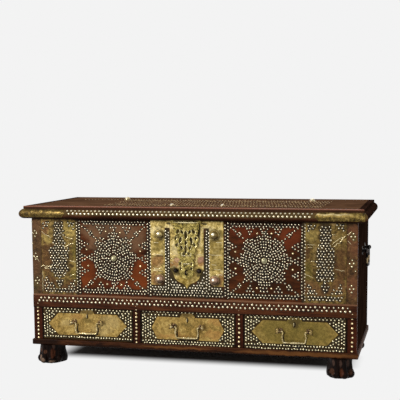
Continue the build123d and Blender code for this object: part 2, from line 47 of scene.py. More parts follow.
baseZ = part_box("plinth_front")[0].z
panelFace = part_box("front_panel")[0].y
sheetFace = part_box("strip_sheets")[0].y
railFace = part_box("drawer_rail")[0].y
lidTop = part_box("lid_board")[1].z
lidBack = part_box("lid_board")[1].y
outFront = (0, -1, 0)
bays = ("left", "centre", "right")


def middleOf(node):
    # halfway between a node's two sides, in pattern millimetres
    low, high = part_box(node)
    return (low.x + high.x) / 2 / mm


def heightOf(z):
    # a height of the frame in pattern millimetres
    return (z - baseZ) / mm


centreX = middleOf("hasp")
bayMiddles = {bay: middleOf(f"drawer_{bay}_plate") for bay in bays}


def colour(code):
    # sRGB hex to linear: c / 12.92 below 0.04045, else ((c + 0.055) / 1.055) to the power 2.4
    parts = np.array([int(code[i:i + 2], 16) / 255 for i in (1, 3, 5)])
    linear = np.where(parts <= 0.04045, parts / 12.92, ((parts + 0.055) / 1.055) ** 2.4)
    return (*linear.tolist(), 1.0)


def perMetre(sizeInMm):
    # a noise scale is how many of its features lie in one metre
    return 1 / (sizeInMm * mm)


def addNode(tree, kind, settings=None, inputs=None, output=0):
    # one node: its settings, its inputs (a number, a hex colour or another node's socket), the output wanted
    node = tree.nodes.new(kind)
    for key, value in (settings or {}).items():
        if key != "stops":
            setattr(node, key, value)
            continue
        elements = node.color_ramp.elements
        while len(elements) < len(value):
            elements.new(0.5)
        for element, (place, tone) in zip(elements, value):
            element.position = place
            element.color = colour(tone)
    for key, value in (inputs or {}).items():
        if isinstance(value, bpy.types.NodeSocket):
            tree.links.new(value, node.inputs[key])
        else:
            node.inputs[key].default_value = colour(value) if isinstance(value, str) else value
    return node.outputs[output]


def newMaterial(name, constants=None):
    # a material, its shader and a shorthand that adds nodes; the constants go on the shader's own sockets
    material = bpy.data.materials.new(name)
    material.use_nodes = True
    shader = material.node_tree.nodes["Principled BSDF"]
    for key, value in (constants or {}).items():
        shader.inputs[key].default_value = colour(value) if isinstance(value, str) else value
    return material, shader, partial(addNode, material.node_tree)


def feed(shader, sockets):
    # links each socket to the shader's input of that name
    for key, socket in sockets.items():
        shader.id_data.links.new(socket, shader.inputs[key])


def spread(tones, low, high):
    # tones at even places between low and high, for a colour ramp
    return list(zip(np.linspace(low, high, len(tones)).tolist(), tones))


blended = {"data_type": "RGBA"}
multiplied = {"data_type": "RGBA", "blend_type": "MULTIPLY"}


def ovalMask(add, place, ovals, share):
    # share inside any oval (across, up, half width, half height in mm) on the front; it falls to nothing
    # where the distance from the middle, over the half size, goes from 0.75 to 1.25
    mask = None
    for across, up, wide, high in ovals:
        centre = (across * mm, 0, baseZ + up * mm)
        away = add("ShaderNodeVectorMath", {"operation": "SUBTRACT"}, {0: place, 1: centre})
        squeeze = (perMetre(wide), 0, perMetre(high))
        scaled = add("ShaderNodeVectorMath", {"operation": "MULTIPLY"}, {0: away, 1: squeeze})
        reach = add("ShaderNodeVectorMath", {"operation": "LENGTH"}, {0: scaled}, "Value")
        limits = {"Value": reach, "From Min": 1.25, "From Max": 0.75, "To Min": 0.0, "To Max": share}
        inside = add("ShaderNodeMapRange", None, limits)
        if mask is None:
            mask = inside
        else:
            mask = add("ShaderNodeMath", {"operation": "MAXIMUM"}, {0: mask, 1: inside})
    return mask


def patchedOver(add, body, patches):
    # lays tones over the body colour inside ovals, whose edges a slow noise pushes about; some tones are
    # stains and dirt, others painted shade and painted highlights; each patch is a tone, its share, how many
    # mm its edge wanders, its ovals
    if not patches:
        return body
    place = add("ShaderNodeTexCoord", output="Object")
    # soft clouds 26 mm across do the pushing
    swirl = add("ShaderNodeTexNoise", None, {"Vector": place, "Scale": perMetre(26), "Detail": 4}, "Color")
    push = add("ShaderNodeVectorMath", {"operation": "SUBTRACT"}, {0: swirl, 1: (0.5, 0.5, 0.5)})
    for tone, share, wander, ovals in patches:
        far = (wander * 4 * mm,) * 3           # the noise strays by a quarter at most
        ragged = add("ShaderNodeVectorMath", {"operation": "MULTIPLY_ADD"}, {0: push, 1: far, 2: place})
        body = add("ShaderNodeMix", blended, {0: ovalMask(add, ragged, ovals, share), 6: body, 7: tone}, 2)
    return body


# Old rosewood and teak, sawn, oiled and waxed many times over: dark figure, fine open pores
# and a low broken shine.
def oldWood(
    name, tones, along="x", figure=26, pores=1.6, gloss=(0.45, 0.65), shine=0.06, patches=(), edge=None
):
    material, shader, add = newMaterial(name, {"Specular IOR Level": shine})
    place = add("ShaderNodeTexCoord", output="Object")
    slim = tuple(0.05 if axis == along else 1.0 for axis in "xyz")  # fibres are 20 times longer than wide
    broad = tuple(0.16 if axis == along else 1.0 for axis in "xyz")
    fibrePlace = add("ShaderNodeMapping", None, {"Vector": place, "Scale": slim})
    figurePlace = add("ShaderNodeMapping", None, {"Vector": place, "Scale": broad})
    fibreScale = {"Vector": fibrePlace, "Scale": perMetre(pores), "Detail": 3, "Roughness": 0.65}
    fibres = add("ShaderNodeTexNoise", None, fibreScale)
    figureScale = {
        "Vector": figurePlace, "Scale": perMetre(figure), "Detail": 4, "Roughness": 0.6, "Distortion": 1.2
    }
    bands = add("ShaderNodeTexNoise", None, figureScale)
    tone = add("ShaderNodeMix", None, {0: 0.42, 2: bands, 3: fibres})
    body = add("ShaderNodeValToRGB", {"stops": spread(tones, 0.36, 0.64)}, {"Fac": tone})
    body = patchedOver(add, body, patches)
    wornScale = {"Vector": place, "Scale": perMetre(90), "Detail": 5, "Roughness": 0.6}
    worn = add("ShaderNodeTexNoise", None, wornScale)
    sootLimits = {"Value": worn, "From Min": 0.35, "From Max": 0.65, "To Min": 0.68, "To Max": 1.15}
    soot = add("ShaderNodeMapRange", None, sootLimits)
    body = add("ShaderNodeMix", multiplied, {0: 1.0, 6: body, 7: soot}, 2)
    if edge:                                   # an arris above a height, painted paler: wear and a painted highlight
        height, paleEdgeTone = edge
        up = add("ShaderNodeSeparateXYZ", None, {0: place}, 2)
        limits = {"Value": up, "From Min": height - 1.5 * mm, "From Max": height + 1.5 * mm}
        above = add("ShaderNodeMapRange", None, limits)
        share = add("ShaderNodeMath", {"operation": "MULTIPLY"}, {0: above, 1: 0.85})
        body = add("ShaderNodeMix", blended, {0: share, 6: body, 7: paleEdgeTone}, 2)
    low, high = gloss
    polishLimits = {"Value": worn, "From Min": 0.3, "From Max": 0.7, "To Min": low, "To Max": high}
    polish = add("ShaderNodeMapRange", None, polishLimits)
    bump = add("ShaderNodeBump", None, {"Height": fibres, "Distance": 0.3 * mm})
    feed(shader, {"Base Color": body, "Roughness": polish, "Normal": bump})
    return material


# Sheet brass beaten by hand and left to age: dents that hold a brown patina, ridges worn pale and slow clouds
# of colour;
# the dark dents and pale ridges are also painted shade and painted sheen for the beaten relief. mottle is how
# far the dents darken and their ridges lighten the colour.
def agedBrass(
    name, tones, cloud=42, dent=11, grit=1.8, gloss=(0.3, 0.5), depth=1.2, metal=0.8, mottle=0.34, patches=()
):
    material, shader, add = newMaterial(name, {"Metallic": metal})
    place = add("ShaderNodeTexCoord", output="Object")
    cloudScale = {
        "Vector": place, "Scale": perMetre(cloud), "Detail": 5, "Roughness": 0.62, "Distortion": 0.8
    }
    dentScale = {"Vector": place, "Scale": perMetre(dent), "Detail": 3, "Roughness": 0.6, "Distortion": 0.6}
    grainScale = {"Vector": place, "Scale": perMetre(grit), "Detail": 2, "Roughness": 0.6}
    clouds = add("ShaderNodeTexNoise", None, cloudScale)
    dents = add("ShaderNodeTexNoise", None, dentScale)
    grains = add("ShaderNodeTexNoise", None, grainScale)
    tone = add("ShaderNodeMix", None, {0: 0.5, 2: clouds, 3: dents})
    body = add("ShaderNodeValToRGB", {"stops": spread(tones, 0.39, 0.61)}, {"Fac": tone})
    body = patchedOver(add, body, patches)
    darkest, palest = 1 - mottle, 1 + 0.65 * mottle
    # dark dents and pale ridges: patina and wear, and also painted shade and sheen for the relief
    reliefLimits = {"Value": dents, "From Min": 0.36, "From Max": 0.64, "To Min": darkest, "To Max": palest}
    relief = add("ShaderNodeMapRange", None, reliefLimits)
    speckLimits = {"Value": grains, "From Min": 0.38, "From Max": 0.6, "To Min": 0.7, "To Max": 1.1}
    specks = add("ShaderNodeMapRange", None, speckLimits)
    shade = add("ShaderNodeMath", {"operation": "MULTIPLY"}, {0: relief, 1: specks})
    body = add("ShaderNodeMix", multiplied, {0: 1.0, 6: body, 7: shade}, 2)
    low, high = gloss
    polishLimits = {"Value": clouds, "From Min": 0.35, "From Max": 0.65, "To Min": high, "To Max": low}
    polish = add("ShaderNodeMapRange", None, polishLimits)
    height = add("ShaderNodeMath", {"operation": "MULTIPLY_ADD"}, {0: grains, 1: 0.08, 2: dents})
    bump = add("ShaderNodeBump", None, {"Height": height, "Distance": depth * mm})
    feed(shader, {"Base Color": body, "Roughness": polish, "Normal": bump})
    return material


# Stud heads, cast in brass: a pale worn crown that is also a painted highlight, a brass shoulder and a
# near-black skirt of packed dirt and painted shade in the gaps. Their tones run from that skirt to the crown;
# level and tint are stored on each head's points.
def studBrass(name, tones, rough=0.3, places=(0.1, 0.22, 0.5, 0.85)):
    material, shader, add = newMaterial(name)
    level = add("ShaderNodeAttribute", {"attribute_name": "level"}, output="Fac")
    tint = add("ShaderNodeAttribute", {"attribute_name": "tint"}, output="Fac")
    place = add("ShaderNodeTexCoord", output="Object")
    dirt = add("ShaderNodeTexNoise", None, {"Vector": place, "Scale": perMetre(3), "Detail": 2})
    strayLimits = {"Value": dirt, "From Min": 0.3, "From Max": 0.7, "To Min": -0.08, "To Max": 0.08}
    stray = add("ShaderNodeMapRange", None, strayLimits)
    crownLevel = add("ShaderNodeMath", {"operation": "ADD"}, {0: level, 1: stray})
    body = add("ShaderNodeValToRGB", {"stops": list(zip(places, tones))}, {"Fac": crownLevel})
    dim = add("ShaderNodeMapRange", None, {"Value": tint, "To Min": 0.66, "To Max": 1.1})
    body = add("ShaderNodeMix", multiplied, {0: 1.0, 6: body, 7: dim}, 2)
    metalLimits = {"Value": crownLevel, "From Min": 0.12, "From Max": 0.3, "To Max": 0.8}
    metal = add("ShaderNodeMapRange", None, metalLimits)
    polishLimits = {"Value": crownLevel, "From Min": 0.1, "From Max": 0.5, "To Min": 0.85, "To Max": rough}
    polish = add("ShaderNodeMapRange", None, polishLimits)
    feed(shader, {"Base Color": body, "Metallic": metal, "Roughness": polish})
    return material


# tone patches on the front, stains and dirt and also painted shade and painted highlights as noted below:
# tone, share, wander of the edge, then ovals as across, up, half width, half height
# dark ground between dense heads: packed dirt and painted shade
dirtAndShade = "#241910"
lowDirtAndShade = (0, 210, 560, 11)                        # along the foot of the front panel
# painted shadow under the lid's moulding, along the top of the front
lidShade = (("#120a05", 0.85, 1, ((0, 480, 3000, 9),)),)
stripPatches = (
    ("#5a3c20", 0.85, 16, (
        (-542, 330, 26, 62), (-536, 236, 30, 34), (-448, 218, 40, 26), (545, 320, 22, 70), (430, 375, 14, 22),
    )),
    ("#73502f", 0.75, 14, ((-552, 440, 14, 34), (425, 246, 30, 26), (480, 238, 50, 18), (538, 250, 26, 26))),
    ("#9d8648", 0.75, 14, (
        (-446, 430, 36, 26), (-430, 300, 14, 20), (440, 432, 22, 26), (-545, 404, 18, 16),
    )),
    ("#6d5f26", 0.7, 12, ((-428, 360, 14, 40), (-434, 268, 16, 20), (432, 300, 16, 26), (-436, 455, 30, 12))),
    # darker ground in the balusters and columns of heads: packed dirt and painted shade
    (dirtAndShade, 0.75, 2, (
        (-493, 346, 41, 32), (-491, 294, 38, 32), (-495, 425, 20, 62), (490, 350, 36, 40), (490, 296, 34, 26),
    )),
    (dirtAndShade, 0.75, 2, ((490, 430, 21, 56), (-491, 236, 16, 16), (490, 246, 16, 22), lowDirtAndShade)),
    (dirtAndShade, 0.85, 2, ((-419, 330, 9.5, 300), (410, 330, 9.5, 300))),
) + lidShade
lockBosses = [(centreX + side * 101, height) for side in (-1, 1) for height in (261, 424)]
# painted shadow round each lock boss, set a little to the lower right
bossShadowRings = tuple((x + 2, z - 2, 22, 21) for x, z in lockBosses)
lockPatches = (
    # pale patches: worn brass and painted highlights
    ("#dcc78c", 0.85, 12, (
        (-118, 440, 26, 12), (-46, 376, 14, 30), (36, 404, 14, 26), (-72, 446, 18, 12), (70, 440, 22, 14),
    )),
    # painted highlights along the upper sides of the creases
    ("#d5bb78", 0.8, 10, ((-112, 352, 24, 6), (-40, 350, 22, 8), (46, 352, 20, 5), (-48, 322, 16, 10))),
    ("#93663a", 0.8, 12, (
        (-114, 322, 24, 26), (-122, 262, 18, 26), (50, 328, 18, 18), (120, 262, 10, 24), (-52, 312, 20, 12),
    )),
    ("#8d7636", 0.7, 10, ((-112, 384, 26, 18), (104, 382, 26, 30), (104, 320, 26, 26), (104, 440, 24, 8))),
    # painted shadow under a crease
    ("#4a3a1a", 0.8, 1, ((-112, 344.5, 24, 2.5),)),
    ("#bd8f74", 0.7, 8, ((48, 336, 14, 12), (-40, 330, 12, 10))),
    # darker behind and beside the hasp and round the knobs: painted shade, partly tarnished
    ("#3c3016", 0.8, 8, (
        (centreX, 420, 36, 36), (-46, 290, 18, 14), (40, 290, 18, 14), (34, 430, 8, 36),
        (centreX, 330, 22, 20),
    )),
    ("#8f7428", 0.7, 8, ((centreX, 262, 34, 26),)),
    # the painted boss shadows, and two dark marks near the top
    ("#2e2310", 0.85, 1, bossShadowRings + ((-72, 463, 9, 4), (62, 463, 8, 4))),
    # painted shadow of the hasp on the plate, along its right edge and beside its head
    ("#1a1208", 0.85, 3, ((41, 438, 5, 34), (48, 466, 10, 4))),
) + lidShade
lockBossPatches = (
    ("#b48c80", 0.65, 5, ((-106, 261, 20, 20), (96, 261, 20, 20))),
    # painted shade on the lower right of each boss
    ("#3c2c12", 0.75, 1.5, tuple((x + 4, z - 9, 13, 7) for x, z in lockBosses)),
    # painted highlight on each boss's crown
    ("#fbf2d6", 0.9, 1, tuple((x - 2, z + 4, 5, 5) for x, z in lockBosses)),
)
lidBossPatches = (
    # painted shade round the foot of each lid boss
    ("#4f3318", 0.8, 1, (
        (-342, 522, 16, 4.5), (398, 522, 16, 4.5), (-72, 522, 11, 3.5), (116, 522, 11, 3.5),
    )),
    # painted highlight on each lid boss's crown
    ("#fff6dc", 0.9, 1, ((-344, 532, 5, 4), (396, 532, 5, 4), (-74, 529, 4, 3.5), (114, 529, 4, 3.5))),
)
haspPatches = (
    # painted shadow of the lid's moulding on the hasp's head
    ("#191208", 0.85, 1, ((centreX, 480, 80, 7),)),
    # painted highlight along the top edge of the hasp's head
    ("#eee0ac", 0.9, 0.5, ((centreX, 468.5, 42, 2),)),
)
platePatches = tuple(
    # darker over the escutcheon, and painted shade round the bail's posts
    ("#3d3018", 0.65, 6, ((middle, 134, 30, 10), (middle - 50, 88, 14, 9), (middle + 50, 88, 14, 9)))
    for middle in bayMiddles.values()
) + (
    ("#6f5c2c", 0.7, 6, tuple((middle + 2, 98, 16, 11) for middle in bayMiddles.values())),
    ("#75652b", 0.8, 14, ((383, 86, 150, 60),)),
    ("#b08245", 0.6, 14, ((-430, 112, 30, 16), (90, 62, 46, 12), (-60, 52, 60, 10), (110, 110, 40, 14))),
    ("#c4ab70", 0.5, 14, ((-300, 95, 36, 26), (-330, 60, 40, 12), (-470, 80, 26, 14))),
    ("#4c3d1f", 0.7, 4, ((bayMiddles["right"], 124, 22, 12), (bayMiddles["right"] + 2, 110, 12, 8))),
    # painted shade in each keyhole
    ("#150e06", 0.9, 1, tuple((middle, 114, 4.4, 9) for middle in bayMiddles.values())),
)
cornerPatches = (
    ("#74482e", 0.6, 12, ((-596, 440, 24, 40), (-590, 300, 16, 40), (590, 420, 24, 60), (590, 250, 20, 40))),
    ("#5a5026", 0.6, 10, ((-588, 230, 14, 20), (-596, 412, 12, 16), (584, 424, 10, 14))),
    ("#3c2c18", 0.6, 8, ((-588, 330, 32, 170),)),
) + lidShade
strapPatches = (
    ("#4c3a16", 0.62, 8, ((-530, 500, 130, 16),)),
    # painted highlight along the top of the right lid strap
    ("#f6e8ba", 0.85, 3, ((520, 504, 55, 2.6), (452, 505, 26, 2.6))),
    # painted glints on the left lid strap
    ("#b89a55", 0.5, 4, ((-548, 503, 5, 3), (-516, 502, 12, 2), (-484, 500, 14, 2.4), (-585, 502, 4, 3))),
    # a broader painted sheen along the right lid strap
    ("#b89c56", 0.6, 5, ((500, 502, 110, 5),)),
)
panelPatches = (
    # a paler painted sheen over the top of the left medallion
    ("#74563d", 0.8, 14, ((-300, 430, 130, 30), (-215, 400, 60, 46), (-350, 400, 30, 40))),
    ("#7e3c18", 0.75, 16, ((-180, 276, 44, 60), (-390, 280, 40, 50))),
    ("#6c3018", 0.7, 16, ((200, 440, 50, 30), (360, 420, 40, 40), (-260, 236, 70, 16))),
    ("#3a200f", 0.7, 16, ((160, 330, 26, 70), (290, 240, 100, 30), (390, 320, 30, 60))),
    # darker ground among the dense heads: packed dirt and painted shade
    (dirtAndShade, 0.8, 2, ((-281, 332, 76, 84), (275, 336, 82, 84))),
    ("#3a3420", 0.85, 2, (
        (-78, 330, 14, 150), (70, 330, 14, 150), (centreX, 222, 150, 26),
        (-66, 260, 26, 44), (58, 260, 26, 44),
    )),
    (dirtAndShade, 0.75, 2, tuple((x, 330, 10, 170) for x in (-418, -146, 141, 413)) + (lowDirtAndShade,)),
    (dirtAndShade, 0.7, 2, ((-281, 464, 150, 10), (277, 464, 150, 10))),
) + lidShade
plinthPatches = (
    # a painted sheen along the plinth's front
    ("#80532b", 0.6, 3, ((390, 11, 210, 7), (-60, 12, 120, 4))),
    ("#140a06", 0.75, 4, ((-560, 10, 60, 14), (-330, 4, 110, 6), (90, 3, 120, 5), (450, 1, 160, 3))),
)
mouldingPatches = (
    # painted shade on the underside of the lid's moulding
    ("#241208", 0.75, 1, ((0, 476, 3000, 8),)),
    ("#5e4b2b", 0.8, 1, ((0, 501, 3000, 11),)),
    # painted shade in the quirk below the pale arris
    ("#40281a", 0.9, 0.5, ((0, 514.5, 1200, 5),)),
)
drawerBoxes = [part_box(f"drawer_{bay}_front") for bay in bays]       # painted shadow lines on the stiles and rail all round each drawer, for the dark gap
drawerEdges = [box[end].x / mm + step for box in drawerBoxes for end, step in ((0, -1.5), (1, 1.5))]
# painted shadow of the gaps beside and above the drawers
stilePatches = (("#0c0603", 0.85, 0.4, tuple((edge, 90, 3.2, 300) for edge in drawerEdges)),)
railPatches = (("#0c0603", 0.8, 0.4, ((0, heightOf(drawerBoxes[0][1].z) + 1.5, 6000, 3.2),)),)
# painted highlights on the paws' toes, knuckles and tendons
footPatches = (
    ("#5a443a", 0.6, 2.5, ((522, -14, 5, 12), (547, -14, 4, 13), (571, -14, 5, 12), (-520, -4, 4, 9))),
    ("#5c3c2b", 0.6, 2, ((517, -45, 9, 10), (580, -46, 7, 10), (-553, -25, 7, 7), (-574, -22, 5, 8))),
    ("#5e3421", 0.6, 3, ((550, -47, 7, 15), (-523, -30, 7, 18))),
    ("#8e7460", 0.75, 3, ((-560, -56, 9, 8), (-525, -60, 11, 5), (-572, -46, 6, 6))),
)

handRubbed = (0.25, 0.4)                           # gloss of castings that hands have polished
materials = {
    "panel": oldWood(
        "rosewood_panel_stained_red", ("#1e0d06", "#43200d", "#572c13", "#663920"), patches=panelPatches
    ),
    "back": oldWood("teak_back_board", ("#24150e", "#402617", "#523320")),
    # a near-black tone for both ends: dark wood, deepened as painted shade for the end turned away from the
    # lamps
    "end": oldWood("rosewood_end_board", ("#1f1511", "#32221a", "#443024"), "z", shine=0.0, gloss=(0.6, 0.8)),
    "inner": oldWood("teak_inside_unfinished", ("#5a3b26", "#7d5738", "#94694a"), gloss=(0.65, 0.85)),
    "rail": oldWood(
        "rosewood_rail_worn_painted_edge_highlight", ("#28140b", "#4a2716", "#62381c"),
        # a paler top edge: wear and a painted highlight
        edge=(baseZ + 187 * mm, "#7a553c"), patches=railPatches,
    ),
    "stile": oldWood("rosewood_stile_rubbed", ("#1c0b05", "#381608", "#4c2413"), "z", patches=stilePatches),
    "plinth": oldWood(
        "rosewood_plinth_waxed", ("#170a05", "#32190c", "#452613", "#55321b"), patches=plinthPatches
    ),
    "foot": oldWood(
        "rosewood_paw_carved", ("#090402", "#130906", "#21110a"), "z",
        shine=0.05, gloss=(0.3, 0.45), patches=footPatches,
    ),
    "lid": oldWood("rosewood_lid_polished", ("#523829", "#614531", "#6e503a"), shine=0.0, gloss=(0.5, 0.7)),
    "moulding": oldWood(
        "rosewood_lid_moulding", ("#28170d", "#452717", "#573423"),
        # a paler arris along the lid's top: wear and a painted highlight
        shine=0.03, edge=(lidTop - 2.4 * mm, "#96634e"), patches=mouldingPatches,
    ),
    "sideMoulding": oldWood("rosewood_lid_end_moulding", ("#20130d", "#33211a", "#432d23"), "y", shine=0.0),
    "drawer": oldWood("rosewood_drawer_front", ("#2a1f10", "#3c2d18", "#4a3820")),
    "sheet": agedBrass(
        "brass_sheet_creased", ("#4a3a1b", "#695226", "#7c6633", "#94794a"), patches=stripPatches
    ),
    "copperStrap": agedBrass(
        "gilding_metal_strap_tarnished", ("#3a2815", "#543a20", "#624527", "#795d37"),
        gloss=(0.42, 0.6), mottle=0.22, patches=cornerPatches,
    ),
    "lock": agedBrass(
        "brass_lock_plate_worn_painted_light", ("#877036", "#b29954", "#c9af68", "#dfcb92"), 30, patches=lockPatches
    ),
    "strap": agedBrass(
        "brass_lid_strap_hammered", ("#3a2e12", "#5c491c", "#75602c", "#998248"),
        dent=8, gloss=(0.38, 0.55), patches=strapPatches,
    ),
    "plate": agedBrass(
        "brass_drawer_plate", ("#81682f", "#9e8043", "#ae8e4b", "#c2a560"), 55, 9,
        depth=0.5, mottle=0.16, patches=platePatches,
    ),
    "cast": agedBrass(
        "brass_cast_boss", ("#806a34", "#a68e50", "#ccb87c"), dent=14,
        gloss=(0.2, 0.28), depth=0.15, metal=0.55, mottle=0.15, patches=lockBossPatches,
    ),
    "lidCast": agedBrass(
        "brass_lid_boss_polished_painted_light", ("#7a6238", "#b39a64", "#e0d0a0"), dent=14,
        gloss=(0.2, 0.3), depth=0.15, metal=0.5, mottle=0.1, patches=lidBossPatches,
    ),
    "paleCast": agedBrass(
        "brass_cast_boss_pale", ("#8f8868", "#b5ad86", "#dcd4aa"), dent=14,
        gloss=(0.2, 0.35), depth=0.2, metal=0.4,
    ),
    "hasp": agedBrass(
        "brass_cast_hasp", ("#4c411c", "#88783a", "#b09d54", "#ccb870"), 22, 7, depth=0.5, patches=haspPatches
    ),
    "pull": agedBrass(
        "brass_cast_pull", ("#7d6838", "#c4ad72", "#ecdfb4"), 14, 5, gloss=handRubbed, depth=0.3, metal=0.6
    ),
    "post": agedBrass(
        "brass_cast_post_dark", ("#1f150b", "#4a3620", "#a2835c"), 14, 5, gloss=handRubbed, depth=0.3
    ),
    "hinge": agedBrass("iron_hinge_forged", ("#241d19", "#352b25", "#463a32"), gloss=(0.45, 0.6), metal=0.9),
    "iron": agedBrass("iron_staple_forged", ("#14100e", "#241d1a", "#352c28"), gloss=(0.35, 0.5), metal=0.9),
    "grip": agedBrass(
        "iron_handle_worn", ("#14100e", "#241d1a", "#352c28"),
        gloss=(0.4, 0.55), patches=(("#b09a74", 0.9, 3, ((625, 321, 32, 10), (-625, 321, 32, 10))),),
    ),
    "stud": studBrass("brass_stud_heads", ("#1e170c", "#483a22", "#b3a174", "#eee2c2")),
    "goldStud": studBrass("brass_nail_heads_yellow", ("#160b06", "#5a3f1a", "#c29f5c", "#f6e2b4")),
    "drawerStud": studBrass("brass_drawer_heads_olive", ("#2e2412", "#584a28", "#bdab70", "#f6ecc4")),
    "lidStud": studBrass("brass_lid_heads_dull", ("#2a180c", "#543a1a", "#80633a", "#b09262"), 0.5),
    "tarnishShadow": studBrass("brass_tarnish_and_painted_shadow_line", ("#1c150a", "#1c150a", "#231a0c", "#2a200f"), 0.6),
    "leaf": studBrass("brass_leaf_blackened", ("#1a120a", "#2a1e10", "#584524", "#a88f58"), 0.4),
    "lockStud": studBrass("brass_lock_heads_grey", ("#332c1a", "#544a32", "#b5a67c", "#f0e6cc")),
    "ridge": studBrass("brass_crease_worn_painted_highlight", ("#4a3a1e", "#6e5a34", "#a18d5e", "#d4c59a")),
    "relief": studBrass(
        "brass_relief_painted_light", ("#241b0b", "#4a3c1a", "#a39050", "#e8dba4"), places=(0.1, 0.3, 0.55, 0.85)
    ),
}

dressedNodes = {
    "panel": ("front_panel",),
    "back": ("back_panel",),
    "end": ("left_end", "right_end"),
    "inner": ("chest_floor", "bottom_board", "partitions", "drawer_guides"),
    "rail": ("drawer_rail",),
    "stile": ("corner_stiles", "muntins"),
    "plinth": ("plinth_front", "plinth_ends"),
    "foot": ("foot_front_left", "foot_front_right", "foot_back_left", "foot_back_right"),
    "lid": ("lid_board",),
    "moulding": ("lid_moulding_front",),
    "sideMoulding": ("lid_moulding_left", "lid_moulding_right"),
    "sheet": ("strip_sheets",),
    "copperStrap": ("corner_straps",),
    "lock": ("side_sheets", "lock_plate"),
    "strap": ("lid_straps",),
    "cast": ("lock_bosses",),
    "lidCast": ("lid_bosses",),
    "paleCast": ("medallion_bosses",),
    "hasp": ("hasp", "hasp_bracket", "hasp_pin"),
    "hinge": ("hinge_leaves", "hinge_straps", "hinge_pins"),
    "iron": ("staple", "carry_posts"),
    "grip": ("carry_left_bail", "carry_right_bail"),
}
drawerNodes = {"front": "drawer", "frame": "inner", "bottom": "inner", "lock": "iron", "plate": "plate"}


def dress(node, material):
    # one finish takes the place of whatever a part came with
    slots = nodes[node].data.materials
    slots.clear()
    slots.append(materials[material])


for material, names in dressedNodes.items():
    for node in names:
        dress(node, material)
for bay in bays:
    for part, material in drawerNodes.items():
        dress(f"drawer_{bay}_{part}", material)
    dress(f"pull_{bay}_posts", "post")
    dress(f"pull_{bay}_bail", "pull")
print("materials given to", len(nodes), "nodes")


def pieceFrom(name, points, faces, material, body, values=None):
    # a smooth mesh that rides a body; values holds a number for each point, by name
    mesh = bpy.data.meshes.new(name)
    mesh.from_pydata(points.tolist(), [], faces)
    mesh.materials.append(materials[material])
    mesh.polygons.foreach_set("use_smooth", [True] * len(mesh.polygons))
    for title, numbers in (values or {}).items():
        stored = mesh.attributes.new(title, "FLOAT", "POINT").data
        stored.foreach_set("value", np.asarray(numbers, np.float32))
    piece = bpy.data.objects.new(name, mesh)
    bpy.context.scene.collection.objects.link(piece)
    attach(piece, body)


def ringFaces(rings, sides, start=0):
    # quads between rings of points: a point, the next one round, then the two above them
    step = np.arange(sides)
    onward = (step + 1) % sides
    low = np.arange(rings - 1)[:, None] * sides + start
    return np.stack((low + step, low + onward, low + sides + onward, low + sides + step), 2).reshape(-1, 4)


def domeFaces(rings, sides, copies=1):
    # closed domes, one after another: quads between the rings, a fan to the crown's point, a face underneath
    step = np.arange(sides)
    last = (rings - 1) * sides
    fan = np.stack((last + step, last + (step + 1) % sides, np.full(sides, last + sides)), 1)
    starts = np.arange(copies)[:, None, None] * (last + sides + 1)
    quads = (starts + ringFaces(rings, sides)).reshape(-1, 4).tolist()
    return quads + (starts + fan).reshape(-1, 3).tolist() + (starts[:, 0] + step[::-1]).tolist()


def tubeFaces(rings, sides, start=0, turnedOver=False):
    # quads round a tube and a face over each end; turned over where the rings run the other way round
    step = np.arange(sides)
    quads = ringFaces(rings, sides, start)
    ends = [start + step[::-1], start + (rings - 1) * sides + step]
    if turnedOver:
        quads, ends = quads[:, (0, 3, 2, 1)], [end[::-1] for end in ends]
    return quads.tolist() + [end.tolist() for end in ends]


# rings of a head from its shoulder up, as shares of its radius: how wide, how far out, how pale (wear and
# painted highlight)
studHead = {
    "sides": 8, "skirtDip": -0.06,
    "rings": ((1.04, 0.07, 0.05), (0.9, 0.34, 0.5), (0.52, 0.62, 0.85)), "crown": 0.74,
}


def studs(
    name, centres, outward, radii, body="chest", skirt=2.2, material="stud", slot="cast_brass",
    flat=1.0, lean=0.1,
):
    # rings of points round each head's own leaning axis, with a dark skirt below them, packed dirt and
    # painted shade:
    # across = radius * ring * cosine and sine of the turn, out = radius * rise * flat
    count, sides = len(centres), studHead["sides"]
    radii = np.broadcast_to(np.asarray(radii, float), count) * draw.uniform(0.92, 1.08, count)
    outward = np.broadcast_to(np.asarray(outward, float), (count, 3))
    tilt = draw.normal(0, lean, (count, 3))
    axis = outward + tilt - (tilt * outward).sum(1)[:, None] * outward
    axis /= np.linalg.norm(axis, axis=1)[:, None]
    side = np.cross((1.0, 0, 0), axis)
    side /= np.linalg.norm(side, axis=1)[:, None]
    other = np.cross(axis, side)
    rings = np.array([(skirt, studHead["skirtDip"], 0.0), *studHead["rings"]])
    turns = np.arange(sides) / sides * tau
    acrossOne = np.append(rings[:, :1] * np.cos(turns), 0)
    acrossTwo = np.append(rings[:, :1] * np.sin(turns), 0)
    rise = np.append(np.repeat(rings[:, 1], sides), studHead["crown"])
    shape = side[:, None] * acrossOne[:, None] + other[:, None] * acrossTwo[:, None]
    shape += axis[:, None] * (flat * rise[:, None])
    points = centres[:, None] + shape * radii[:, None, None]
    level = np.tile(np.append(np.repeat(rings[:, 2], sides), 1.0), count)
    values = {"level": level, "tint": np.repeat(draw.uniform(0, 1, count), len(rise))}
    pieceFrom(name, points.reshape(-1, 3), domeFaces(len(rings), sides, count), material, body, values)


def onFront(points, face, jitter=0.55):
    # pattern millimetres to places on the front, at the depth of that face, each a little off its mark
    points = np.asarray(points, float) + draw.normal(0, jitter, (len(points), 2))
    depth = np.full(len(points), face)
    return np.stack((points[:, 0] * mm, depth, baseZ + points[:, 1] * mm), 1)


def line(start, end, pitch, shift=0.0):
    # heads evenly along a straight line; shift moves them by that share of the pitch
    start, end = np.asarray(start, float), np.asarray(end, float)
    steps = max(1, round(np.linalg.norm(end - start) / pitch))
    share = (np.arange(steps + 1 - (shift > 0)) + shift) / steps
    return start + share[:, None] * (end - start)


